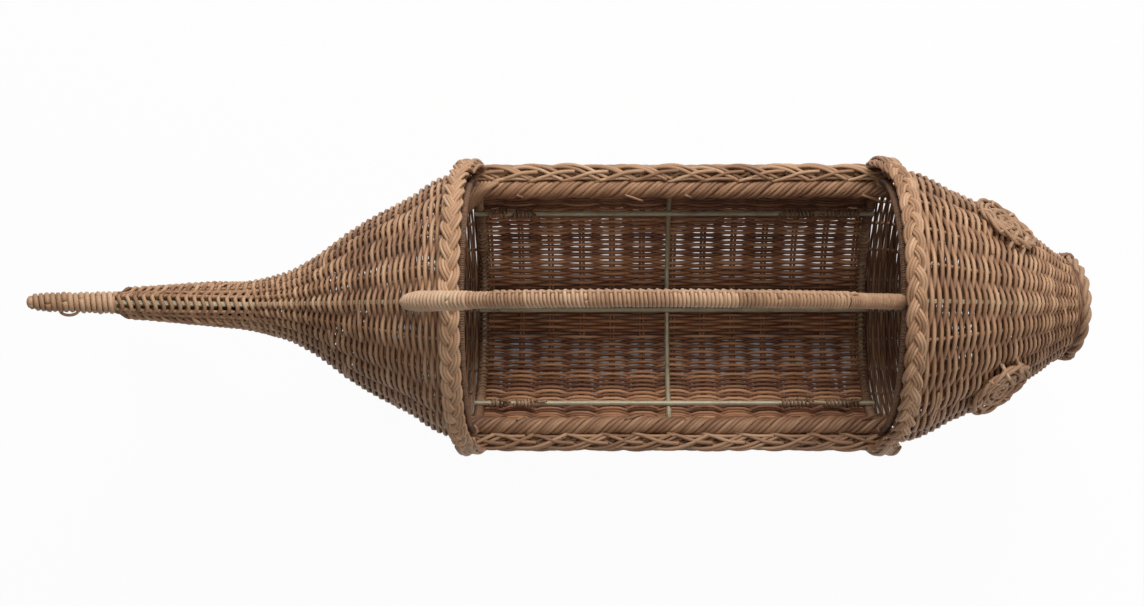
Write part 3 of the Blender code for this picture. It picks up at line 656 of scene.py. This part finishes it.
def rods_of_trough():
    made = []
    turn = even_angles(0.006)
    for pair in range(ROD_PAIRS):
        for side in (-1, 1):
            along = (FIRST_PAIR + pair * PAIR_STEP + side * 0.0014 + 0.0004 * sin(pair * 2.3)) / TROUGH_LENGTH
            made.append(strand(off_wall(trough_at, along, turn, 0 * turn), 0.0013, tone=0.1))
    return made


# The trough's canes take the darker ramp, painted shade of the inside.
lay("trough_canes", weave_trough() + rods_of_trough(), shaded_trough_cane, "trough_weave")

# %% [markdown]
# ## Rope rims
# Each long rim is a border rope: three groups of canes laid round the rim wire like a cord, with deep
# grooves between the groups. Seen from above, the canes lean forward to the right. The middle canes
# of a group ride higher than its outer ones, and a dark core fills the inside. A few cut ends stick
# out, and at the tail hoop the left rope's canes part and sweep down inside.

# %% Rope
ROPE_PITCH = 0.037
CUT_ENDS = ((0.1, 0.006), (0.37, 0.014), (0.52, 0.005), (0.96, 0.016))


def rope_rim(side, name):
    low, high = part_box(f"{name}_rope_rim")
    y = side * ROPE_SPREAD - RIM_SHIFT[side]
    start_x = low.x - (0.004 if side > 0 else 0.012)
    length = high.x + 0.008 - start_x
    run = np.linspace(0, length, int(length / ROPE_PITCH * 16) + 1)
    made = []
    for group, canes in enumerate((3, 3, 2)):
        for place in range(canes):
            offset = place - (canes - 1) / 2
            start = group * tau / 3 + offset * 0.76 + vary(-0.12, 0.12)
            swell = 0.0054 - 0.0004 * abs(offset) + vary(-0.0003, 0.0003)
            radius = swell + 0.0005 * np.sin(run * 120 + vary(0, 6))
            turn = start + run / ROPE_PITCH * tau
            line = spots_of(start_x + run, y + radius * np.sin(turn),
                            RIM_HEIGHT - 0.0005 + radius * np.cos(turn))
            line[:, 1:] += 0.0005 * np.sin(line[:, :1] * 41 + np.array([0.0, 2.0]))
            made.append(strand(line, 0.00192))
    made.append(strand(np.linspace((low.x, y, RIM_HEIGHT), (high.x, y, RIM_HEIGHT), 20), 0.0042, tone=0.0))
    step = np.linspace(0, 1, 7)
    for share, length in CUT_ENDS:
        stub = spots_of(low.x + share * (high.x - low.x) + length * step,
                        y - side * (0.005 + 0.3 * length * step), RIM_HEIGHT + 0.0045 - 0.0045 * step**2)
        made.append(strand(stub, 0.001))
    if side > 0:
        made += rope_fan(y)
    # The right rope takes the darker copy of the cane: painted shade.
    lay(f"{name}_rope", made, rope_cane if side > 0 else shaded_side_cane, f"{name}_rope_rim", sides=8)


def rope_fan(y):
    step = np.linspace(0, 1, 12)
    bend = np.sin(step * pi / 2) ** 1.2
    made = []
    for cane in range(7):
        start, end = TAIL_HOOP_X + 0.005 + 0.003 * cane, TAIL_HOOP_X - 0.0045 + 0.0021 * cane
        line = spots_of(start + (end - start) * bend, y + (0.005 - (0.025 - 0.002 * cane) * step),
                        RIM_HEIGHT + 0.006 + 0.0034 * np.sin(step * pi) - 0.012 * step**2)
        # A light tone: painted light on canes that face away from the lamps.
        made.append(strand(line, 0.0017, tone=0.75))
    return made


rope_rim(1, "left")
rope_rim(-1, "right")

# %% [markdown]
# ## Plaited borders
# Outside each rope the stakes are bent over and plaited into a flat border. Every 27 mm a pair of
# stakes rises from under the rope, arches out to the edge, comes back over the pairs that rise there
# and ends at the rope. A shorter cane beside each pair ends cut off, and another lies low along the
# rope. Each of them is one short strand drawn through a few places and smoothed.

# %% Plaits
PLAIT_STEP = 0.0272
ARCH = ((-0.004, -0.0005, -0.0034), (0.006, 0.0042, -0.0016), (0.016, 0.0094, 0.0004), (0.028, 0.0114, 0.002),
        (0.04, 0.0092, 0.0034), (0.05, 0.0046, 0.0036), (0.059, 0.0002, 0.002))
SHORT = ((-0.005, -0.0006, 0.0006), (0.005, 0.0026, 0.003), (0.013, 0.0056, 0.0038), (0.021, 0.0068, 0.0036),
         (0.028, 0.0072, 0.0034))
LOW = ((-0.002, -0.001, 0.0012), (0.008, 0.0012, 0.0026), (0.018, 0.0016, 0.0024), (0.026, 0.0014, 0.0022))
# For each cane of a pair: its places, how far ahead it starts, its count of points, its thickness, and
# how much further out and up it lies.
PLAIT_CANES = ((ARCH, 0, 22, 0.00158, 0, 0), (ARCH, 0.0044, 22, 0.00146, 0.001, -0.001),
               (SHORT, 0.0105, 12, 0.00158, 0, 0), (LOW, 0.004, 9, 0.00142, 0, 0),
               (ARCH, 0.012, 22, 0.00146, 0.001, -0.005), (ARCH, 0.021, 22, 0.00146, 0.0006, -0.0056))


def through(places, count):
    """A smooth line through a few places, each (along, across, up)."""
    shares = np.linspace(0, 1, len(places))
    return np.stack([read_share(np.column_stack([shares, axis]), np.linspace(0, 1, count))
                     for axis in np.array(places, float).T], -1)


def plait(side, name):
    low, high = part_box(f"{name}_plait_border")
    inner, level = min(abs(low.y), abs(high.y)) - 0.0022, (low.z + high.z) / 2 + 0.0012
    inward = RIM_SHIFT[side]
    made = []
    for step in np.arange(low.x - 0.045, high.x, PLAIT_STEP):
        shift = step + vary(-0.0015, 0.0015)
        for places, ahead, count, thickness, out, up in PLAIT_CANES:
            line = through(places, count) * vary(0.95, 1.05) + vary(-0.0004, 0.0004, 3)
            x = np.clip(shift + ahead + line[:, 0], low.x - 0.009, high.x + 0.005)
            y = side * (inner + (line[:, 1] + out) * 0.94) - inward
            made.append(strand(spots_of(x, y, level + line[:, 2] + up), thickness))
    along = np.linspace(low.x - 0.004, high.x + 0.004, 120)
    for lane in range(4):
        turn = along / 0.021 * tau + lane * pi / 2
        made.append(strand(spots_of(along, side * (inner + 0.008 + 0.0018 * np.cos(turn)) - inward,
                                    level - 0.0062 + 0.0018 * np.sin(turn)), 0.0016))
    for depth in (0.003, 0.006):
        made.append(strand(spots_of(along, side * (inner + depth) - inward, level - 0.0062), 0.002, tone=0.0))
    # The right border takes the darker copy of the cane: painted shade.
    lay(f"{name}_plait", made, natural_cane if side > 0 else shaded_side_cane, f"{name}_plait_border")


plait(1, "left")
plait(-1, "right")

# %% [markdown]
# ## Braids over the hoops
# A three-strand braid covers each hoop from rim to rim. A braid's strands swing from side to side a
# third of a period apart, and each lies over the next as it goes out and under as it comes back. Every
# strand is three canes side by side. At the rims the canes lean towards the trough and fold over.

# %% Braids
BRAID_SETBACK = {TAIL: 0.0034, HEAD: 0.0026}
BRAID_LEAN = {TAIL: 0.0058, HEAD: 0.0098}
BRAID_PERIOD = 0.0455


def braid(end, name):
    angle = np.linspace(-1, 1, 241) * radians(91)
    setback = BRAID_SETBACK[end] - BRAID_LEAN[end] * ease((np.abs(angle) - 0.85) / 0.7)
    middle = on_hoop(end, angle, HALF_WALL + CLEARANCE + 0.0045, setback)
    run = run_along(middle)
    made = []
    for lane in range(3):
        phase = -end * run / BRAID_PERIOD * tau + lane * tau / 3
        lateral, over = 0.0044 * np.sin(phase), 0.002 * np.sin(phase * 2)
        slope = np.gradient(lateral, run)
        for cane in (-1, 0, 1):
            beside = cane * 0.0021
            across = lateral + beside / np.sqrt(1 + slope**2)
            back = -beside * slope / np.sqrt(1 + slope**2)
            lift = (over + 0.0004 * (cane == 0))[:, None]
            spot = middle + np.outer(across, FORWARD) + outward_at(angle) * lift
            spot += np.gradient(middle, run, axis=0) * back[:, None]
            made.append(strand(spot[::2], 0.00136))
    lay(f"{name}_braid", made + folded_ends(end), natural_cane, f"{name}_ring_braid")


def folded_ends(end):
    """At each rim the braid's canes lean over the border's end and tuck back under it."""
    made = []
    step = np.linspace(0, 1, 12)
    for side in (-1, 1):
        low_corner = 0.004 if (end, side) == (TAIL, 1) else 0.0
        for layer in range(2):
            for cane in range(6):
                angle = side * np.radians(67 + cane * 1.4 + step * (31 - cane * 1.4))
                swell = 0.0036 * np.sin(step * pi) + vary(-0.001, 0.0012)
                lift = HALF_WALL + 0.005 - 0.0026 * layer + swell - low_corner * step
                slide = BRAID_SETBACK[end] - 0.001 - 0.0085 * step**1.3 - 0.003 * layer + (cane - 3) * 0.0022
                slide = slide + vary(-0.0008, 0.0008) * np.sin(step * 5)
                made.append(strand(on_hoop(end, angle, lift, slide), 0.00145))
    return made


braid(TAIL, "tail")
braid(HEAD, "head")

# %% [markdown]
# ## Winding
# Wrapped pieces all need the same thing: a cane wound round a line, at a pitch and a distance. The
# line is first read at even steps, then two directions square to it are carried along without twist.

# %% Winding


def even_points(path, count, start, end):
    spots = np.linspace(start, end, count)
    return np.stack([np.interp(spots, run_along(path), path[:, axis]) for axis in range(3)], -1)


def square_to(path, hint):
    """Two directions square to the line at each of its points, the first near the hint."""
    along = np.gradient(path, axis=0)
    along /= np.linalg.norm(along, axis=1, keepdims=True)
    across = np.array(hint, float) - along * (along @ np.array(hint, float))[:, None]
    across /= np.linalg.norm(across, axis=1, keepdims=True)
    return across, np.cross(along, across)


def wind(path, pitch, radius, start=0, end=None, hint=(0, 1, 0), steps=9, jitter=0.0, bump=lambda turn: 0):
    """A line wound round a path from start to end. The radius is a number, or a rule for the share."""
    end = length_of(path) if end is None else end
    turns = (end - start) / pitch
    count = max(int(turns * steps), 4)
    spots = even_points(path, count, start, end)
    across, up = square_to(spots, hint)
    share = np.linspace(0, 1, count)
    turn = share * turns * tau
    knots = np.arange(0, turn[-1] + 9, 3)
    radius = radius(share) if callable(radius) else radius
    radius = radius + jitter * np.interp(turn, knots, vary(-1, 1, len(knots))) + bump(turn)
    return spots + across * (radius * np.cos(turn))[:, None] + up * (radius * np.sin(turn))[:, None]


def cut_runs(line, pieces, radius, tones=None):
    """One winding as several canes end to end, each with its own tone."""
    cuts = np.linspace(0, len(line) - 1, pieces + 1).astype(int)
    return [strand(line[a:b + 1], radius, tone=tone)
            for a, b, tone in zip(cuts, cuts[1:], tones or [None] * pieces)]


# %% [markdown]
# ## Wrapped hoops
# Over the back both hoops are wrapped with thin cane, so close that it reads as a narrow ribbed edge
# beside the braid. Down at the rims, in the braid's shade, the wrap's end pieces are darkest: painted shade.

# %% Hoop wraps
WIRE_RADIUS = 0.002


def hoop_line(end, angle):
    return on_hoop(end, angle, -(HALF_WALL + CLEARANCE + WIRE_RADIUS), -(WIRE_RADIUS + 0.001 + 2 * CLEARANCE))


for end, name in ((TAIL, "tail"), (HEAD, "head")):
    line = hoop_line(end, np.linspace(-1, 1, 160) * radians(84))
    turns = wind(line, 0.0017, 0.0022, hint=FORWARD, steps=7, jitter=0.0001)
    # The first and last pieces get a very dark tone, painted shade at the rims.
    lay(f"{name}_hoop_turns", cut_runs(turns, 9, 0.00082, [-0.6] + [0.2] * 7 + [-0.6]), dark_cane,
        f"{name}_hoop_wrap", sides=4)

# %% [markdown]
# ## The carrying bar
# The bar is a wire wound with cane from end to end: round bands on the bullet at the tail, open even
# turns along the middle, where a second cane is laced along the upper edge, and a fine tight wrap
# under the head's braid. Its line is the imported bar's own curve, a cubic through four places. It
# clears the rear braid by a small gap, which depends on the curve's own slope there, so the curve is
# drawn a few times over.

# %% The bar's line
BAR_TIP_REACH, TIP_RADIUS = 0.0323, 0.0042
BAR_RADIUS, BAR_GAP = 0.0074, 0.0005
BRAID_HALF_WIDTH, BRAID_HALF_HEIGHT = 0.0075, 0.005
CROWN_HEIGHT = 0.344


def bar_line():
    tip_x = TAIL_HOOP_X - BAR_TIP_REACH
    ridge, front = tail_at(np.array([BAR_TIP_REACH / TAIL_LENGTH, 0.0]), np.zeros(2), HALF_WALL)
    lean = (front[2] - ridge[2]) / (front[0] - ridge[0])
    tip_z = ridge[2] + (TIP_RADIUS + BAR_GAP) * sqrt(1 + lean**2)
    braid_x, _, braid_z = on_hoop(TAIL, 0.0, HALF_WALL + CLEARANCE + BRAID_HALF_HEIGHT, BRAID_SETBACK[TAIL])
    top_x, _, top_z = hoop_line(HEAD, 0.0)
    slope = 1.0
    for _ in range(12):
        over = sqrt((BRAID_HALF_WIDTH * slope) ** 2 + BRAID_HALF_HEIGHT**2)
        over += (BAR_RADIUS + BAR_GAP) * sqrt(1 + slope**2)
        places = ((tip_x, tip_z), (braid_x, braid_z + over), ((TAIL_HOOP_X + HEAD_HOOP_X) / 2, CROWN_HEIGHT),
                  (top_x, top_z))
        cubic = np.polyfit(*np.array(places).T, 3)
        slope = float(np.polyval(np.polyder(cubic), braid_x))
    x = np.linspace(tip_x, top_x, 120)
    return spots_of(x, 0, np.polyval(cubic, x))


BAR = bar_line()
BAR_END = length_of(BAR) - 0.0036
KNOB_END, FRONT_START = 0.064, BAR_END - 0.050
print("bar length", round(length_of(BAR), 4), "tip", BAR[0].round(4))

# %% The bar's canes
KNOB_SHARES = (0, 0.03, 0.09, 0.25, 0.5, 0.8, 1)
KNOB_RADII = (0.0018, 0.0034, 0.0046, 0.0057, 0.0058, 0.0052, 0.0047)
BAR_PITCH = 0.00272
PLAIN_TURNS = 8
LACING_ANGLE = 0.62
FINE_TONES = [0.1, 0.25, 0.15, 0.2, 0.1, 0.2]


def over_loop(turn):
    """Past the plain turns, every other one rises over the cane laced along the bar's upper edge."""
    place = (turn - LACING_ANGLE) % (2 * tau)
    near = np.minimum(place, 2 * tau - place)
    return 0.0017 * fade(near, 0.55) * (turn > PLAIN_TURNS * tau)


def laced_cane():
    line = even_points(BAR, 300, KNOB_END + 0.020, FRONT_START + 0.006)
    across, up = square_to(line, (0, 1, 0))
    turn = np.linspace(0, length_of(line) / (2 * BAR_PITCH) * tau, len(line))
    reach = (0.0056 - 0.0004 * np.cos(turn))[:, None]
    return line + across * reach * cos(LACING_ANGLE) + up * reach * sin(LACING_ANGLE)


knob = wind(BAR, 0.0033, lambda share: np.interp(share, KNOB_SHARES, KNOB_RADII), 0.0012, KNOB_END, steps=12,
            jitter=0.00012)
tip = np.stack([BAR[0] + (BAR[1] - BAR[0]) * step for step in (0.0, 1.0, 3.0)])
lay("bar_knob", cut_runs(knob, 4, 0.00175) + [strand(tip, (0.001, 0.0024, 0.0036), tone=0.6)], pale_cane,
    "bar_knob_wrap", sides=8)
middle = wind(BAR, BAR_PITCH, 0.0045, KNOB_END, FRONT_START, steps=12, jitter=0.00012, bump=over_loop)
lay("bar_turns", cut_runs(middle, 19, 0.00148), pale_cane, "bar_wrap")
front = wind(BAR, 0.0015, 0.005, FRONT_START, BAR_END, steps=10)
lay("bar_fine_turns", cut_runs(front, 6, 0.00078, FINE_TONES), pale_cane, "bar_head_wrap", sides=4)
lay("bar_laced_cane", [strand(laced_cane(), 0.0014)], pale_cane, "bar_lacing")

# %% [markdown]
# ## Eyes
# Each eye is one cane coiled flat, in and out of seven spokes. An odd number makes every turn cross
# them the other way than the turn before, which one sine of 3.5 waves a turn gives by itself. The
# eye has a rope of two canes for a rim, a few stitches and two pegs that hold its upper edge.

# %% Eyes
TOP_TILT = -0.02
EYE_STANDOFF = 0.0026
COIL_TURNS = 5.2
SPOKES = 7


def eye(name, distance, degrees):
    angle, along = radians(degrees), distance / HEAD_LENGTH
    spot = head_at(along, angle, HALF_WALL)
    forward = head_at(along + 0.01, angle, HALF_WALL) - spot
    forward /= np.linalg.norm(forward)
    outward = np.cross(head_at(along, angle + 0.05, HALF_WALL) - spot, forward)
    outward *= np.sign(outward[1] * sin(angle)) / np.linalg.norm(outward)
    side = np.cross(outward, forward)
    side *= np.sign(side[2])

    def on_disc(turn, reach, lift):
        """Points of the tilted disc, with side pointing at the ridge."""
        flat = np.outer(reach * np.cos(turn), forward) + np.outer(reach * np.sin(turn), side)
        return spot + flat + np.outer(lift + EYE_STANDOFF + TOP_TILT * reach * np.sin(turn), outward)

    share = np.linspace(0, 1, 330)
    turn = share * tau * COIL_TURNS
    lift = 0.0011 * np.sin(turn * SPOKES / 2) * ease(share * 4) + 0.0006
    made = [strand(on_disc(turn, 0.0022 + 0.0198 * share, lift), 0.00156, tone=0.15)]
    for spoke in range(SPOKES):
        turn = (spoke + 0.5) * tau / SPOKES + np.zeros(6)
        made.append(strand(on_disc(turn, np.linspace(0.002, 0.0235, 6), -0.0004), 0.0011, tone=-0.3))
    for lane in range(2):
        turn = round_angles(120)
        twist = turn * 5 + lane * pi
        rim = on_disc(turn, 0.0246 + 0.0011 * np.cos(twist), 0.0006 + 0.0013 * np.sin(twist))
        made.append(strand(rim, 0.0016, loop=True, tone=0.1))
    for stitch in range(6):
        turn = stitch * tau / 6 + vary(-0.3, 0.3) + np.zeros(8)
        arch = 0.005 * np.sin(np.linspace(0.5, pi, 8)) - 0.0014
        line = on_disc(turn + np.linspace(-0.12, 0.12, 8), np.linspace(0.0185, 0.0272, 8), arch)
        made.append(strand(line, 0.0011))
    for peg in (1.25, 1.85):
        turn = peg + vary(-0.1, 0.1) + np.zeros(5)
        line = on_disc(turn, np.linspace(0.0215, 0.0292, 5), np.linspace(0.0056, -0.0076, 5))
        made.append(strand(line, 0.0015))
    lay(f"{name}_eye_coil", made, pale_cane, f"{name}_eye", sides=8)


eye("left", 0.0790, 51)
eye("right", 0.0740, -52)

# %% [markdown]
# ## Lips
# The lips are a rope of two canes that goes round the mouth and stands off its edge, tied with a few
# turns at both corners, where cut ends stick out.

# %% Lips
MOUTH_X = HEAD_HOOP_X + HEAD_LENGTH
LIP_WIDTH = HALF_WIDTH * HEAD_WIDTHS[-1][1]
LIP_HEIGHT = HALF_HEIGHT * HEAD_HEIGHTS[-1][1]


def lip_line(angle):
    y, rise = oval(angle, LIP_WIDTH, LIP_HEIGHT)
    forward = 0.003 + 0.0048 * (1 + rise / LIP_HEIGHT) / 2
    return spots_of(MOUTH_X + forward, y, MIDDLE - HEAD_DROP + rise)


def lips():
    angle = round_angles(180)
    line = lip_line(angle)
    made = []
    for lane in range(2):
        turn = angle * 9 + lane * pi
        spot = line + outward_at(angle) * (0.0018 * np.cos(turn))[:, None]
        made.append(strand(spot + np.outer(0.0018 * np.sin(turn), FORWARD), 0.0021, loop=True, tone=1.15))
    for lane in range(5):
        inner = line * (1, 0.97, 1) - (0.0014 + 0.0017 * lane, 0, 0)
        inner = inner + np.outer(np.cos(angle * 12 + lane * pi), (0, 0, 0.0006))
        made.append(strand(inner, 0.00118, loop=True))
    lay("lip_rope", made, dark_cane, "lip_ring", sides=8)


def lip_knot(side, name):
    tied = lip_line(side * (pi / 2 + np.linspace(-0.18, 0.18, 9)))
    made = [strand(wind(tied, 0.0026, 0.0046, hint=FORWARD, steps=10), 0.0012)]
    run = np.linspace(0, 1, 5)[:, None]
    for _ in range(5):
        start = lip_line(side * (pi / 2 + vary(-0.15, 0.3)))
        way = np.array([vary(-0.012, -0.004), side * vary(0.001, 0.006), vary(-0.006, 0.008)])
        made.append(strand(start + way * run + np.outer(np.sin(run * 3), (0, 0, 0.002)), 0.0011))
    lay(f"{name}_lip_knot", made, dark_cane, f"{name}_lip_tie")


lips()
lip_knot(1, "left")
lip_knot(-1, "right")

# %% [markdown]
# ## The fin's edge and its horns
# Between the two lobes the fin's edge is bound with cane, and each lobe ends in a horn, a bundle
# wound from base to tip.

# %% Fin edge and horns
HORN_LENGTH, HORN_RISE = 0.0516, 0.014
HORN_SHARES = (0, 0.15, 0.5, 0.85, 0.96, 1)
HORN_RADII = (0.0068, 0.0063, 0.0054, 0.005, 0.0047, 0.0032)


def fin_edge():
    top, bottom = tail_at(np.ones(2), np.array([0, pi]))
    centre, half = (top[2] + bottom[2]) / 2, (top[2] - bottom[2]) / 2
    reach = half - 0.0052 - 0.0022 - 0.006 - CLEARANCE
    rise = np.linspace(reach, -reach, 60)
    line = spots_of(TAIL_HOOP_X - TAIL_LENGTH + FIN_NOTCH * (1 - np.abs(rise / half) ** 1.5), 0, centre + rise)
    _, up = square_to(line, (0, 1, 0))
    line = line + up * np.sign(-up[:, :1]) * 0.0063
    turns = wind(line, 0.0031, 0.0046, jitter=0.0003)
    lay("fin_edge", cut_runs(turns, 7, 0.0015) + [strand(line, 0.0036, tone=0.1)], pale_cane,
        "fin_edge_binding")


def horn(name, lift):
    point = tail_at(1.0, 0.0 if lift > 0 else pi)
    base = np.array([point[0] - CLEARANCE - 0.0052 * HORN_RISE / HORN_LENGTH, 0, point[2]])
    tip = np.array([point[0] - HORN_LENGTH + 0.0028 * HORN_RISE / HORN_LENGTH, 0,
                    point[2] + lift * HORN_RISE])
    line = np.linspace(base + (base - tip) * 0.12, tip, 40)
    turns = wind(line, 0.0038, lambda share: np.interp(share, HORN_SHARES, HORN_RADII), 0,
                 length_of(line) - 0.0015, steps=12, jitter=0.0006)
    made = cut_runs(turns, 5, 0.002) + [strand(line, np.linspace(0.006, 0.0036, 40), tone=0.3)]
    forward = (tip - base) / np.linalg.norm(tip - base)
    cap = tip + forward * np.array([[-0.003], [-0.001], [0.0006], [0.0016]])
    made.append(strand(cap, (0.0044, 0.0046, 0.0038, 0.0016)))
    if lift > 0:
        turn = np.linspace(0, pi, 12)
        loop = point + spots_of(-0.0256 - 0.0065 * np.cos(turn), -0.0056 - 0.0035 * np.sin(turn), 0.006)
        made.append(strand(loop, 0.0011))
    lay(f"{name}_horn_turns", made, pale_cane, f"{name}_horn", f"{name}_horn_wrap")


fin_edge()
horn("upper", 1)
horn("lower", -1)

# %% [markdown]
# ## Bindings
# Inside, the two wires along the trough's lower corners are bound to the weave near their ends. The
# cane there is dark and not as neat.

# %% Bindings


def binding(side, name):
    low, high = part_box(f"{name}_binding")
    y, z = (low.y + high.y) / 2, (low.z + high.z) / 2
    line = np.linspace((low.x, y, z), (high.x, y, z), 20)
    length = length_of(line)
    made = []
    for start, end in ((0, 0.42), (0.55, 1)):
        turns = wind(line, 0.0031, 0.003, start * length, end * length, hint=(0, 0, 1), jitter=0.0007)
        made += cut_runs(turns, 2, 0.00105)
    for _ in range(3):
        start = line[chance.integers(20)]
        way = np.array([vary(-0.012, 0.012), -side * vary(0, 0.005), vary(0.002, 0.010)])
        made.append(strand(start + way * np.linspace(0, 1, 4)[:, None], 0.001))
    lay(f"{name}_turns", made, dark_cane, f"{name}_binding")


for side, name in ((1, "left"), (-1, "right")):
    for place in ("rear", "front"):
        binding(side, f"{name}_{place}")

# %% [markdown]
# The lower halves of the two hoops are lashed to the weave with an open winding, which lets the paint
# show in spots.

# %% Lashings


def lashing(end):
    line = hoop_line(end, np.linspace(radians(86), radians(274), 200))
    turns = wind(line, 0.004, lambda share: 0.003 + 0.0003 * np.sin(share * 60), hint=FORWARD, jitter=0.0005)
    return cut_runs(turns, 14, 0.00135)


lay("hoop_lashings", lashing(TAIL) + lashing(HEAD), dark_cane)

# %% [markdown]
# ## Floor and light
# The floor is white. For the camera it glows a little by itself, so that the ground stays white. Under
# the basket, in a patch that narrows to head and tail like the basket itself, the glow is held back, a
# painted shadow in which the real shadow also shows through the weave; towards the window on the left
# it comes back gently. A large soft lamp hangs above, another stands on the basket's left, a weak one
# before its head, and the white surroundings fill the rest.

# %% Floor
BASKET_X, BASKET_REACH = 0.074, 0.262
RIGHT_REACH, LEFT_REACH = 0.120, 0.108


def seen_rays(finish):
    """1 for what the camera sees, also in gloss and through glass."""
    camera, gloss, glass = (finish.node("ShaderNodeLightPath", out=out)
                            for out in ("Is Camera Ray", "Is Glossy Ray", "Is Transmission Ray"))
    return camera.larger(gloss).larger(glass)


def white_floor():
    work = bmesh.new()
    bmesh.ops.create_grid(work, x_segments=1, y_segments=1, size=8)
    mesh = bpy.data.meshes.new("floor")
    work.to_mesh(mesh)
    work.free()
    floor = bpy.data.objects.new("floor", mesh)
    bpy.context.scene.collection.objects.link(floor)
    finish = Finish("floor_white")
    finish.set(Base_Color=(0.74, 0.74, 0.74, 1), Roughness=0.9)
    glow = finish.node("ShaderNodeEmission", {}, {"Color": (1, 1, 1, 1), "Strength": 1.0})
    place = finish.node("ShaderNodeTexCoord", out="Object")
    x, y = (finish.node("ShaderNodeSeparateXYZ", {}, {0: place}, out=axis) for axis in "XY")
    far = x.maths("ABSOLUTE", x - BASKET_X)
    narrowing = (far - 0.170).larger(0.0) * 0.7
    # under is a painted shadow patch: there the glow is held back and the floor is darker.
    under = ((BASKET_REACH - far).soft_step() * (y - narrowing + RIGHT_REACH).soft_step()
             * (LEFT_REACH - y - narrowing).soft_step(18.0))
    mixed = finish.node("ShaderNodeMixShader", {}, {0: seen_rays(finish) * (0.96 - under * 0.92),
                                                    1: Flow(finish, finish.shader.outputs[0]), 2: glow})
    finish.tree.links.new(mixed.socket, finish.tree.nodes["Material Output"].inputs["Surface"])
    mesh.materials.append(finish.material)


white_floor()

# %% Light
LAMP_AIM = (0, 0, 0.12)
ROOM_LIGHT = 0.06


def soft_lamp(name, place, size, power):
    data = bpy.data.lights.new(name, "AREA")
    data.shape = "RECTANGLE"
    data.size, data.size_y = size
    data.energy = power
    lamp = bpy.data.objects.new(name, data)
    lamp.location = place
    lamp.rotation_euler = (Vector(LAMP_AIM) - Vector(place)).to_track_quat("-Z", "Y").to_euler()
    bpy.context.scene.collection.objects.link(lamp)


class WorldFinish(Finish):
    """The same ways to add nodes, for the world."""

    def __init__(self, world):
        world.use_nodes = True
        self.tree = world.node_tree


def surroundings():
    """A white room for the camera, and only a little light on the basket."""
    world = bpy.data.worlds.new("white_room")
    bpy.context.scene.world = world
    finish = WorldFinish(world)
    background = finish.tree.nodes["Background"]
    background.inputs["Color"].default_value = (1, 1, 1, 1)
    finish.feed(background.inputs["Strength"], seen_rays(finish) * (1 - ROOM_LIGHT) + ROOM_LIGHT)


soft_lamp("window", (0.30, 1.5, 1.26), (1.4, 0.85), 35.5)
soft_lamp("fill", (1.3, -0.7, 1.2), (1.0, 1.0), 8)
soft_lamp("overhead", (0.0, 0.35, 2.3), (1.2, 1.0), 11)
surroundings()
bpy.context.scene.view_settings.view_transform = "Standard"
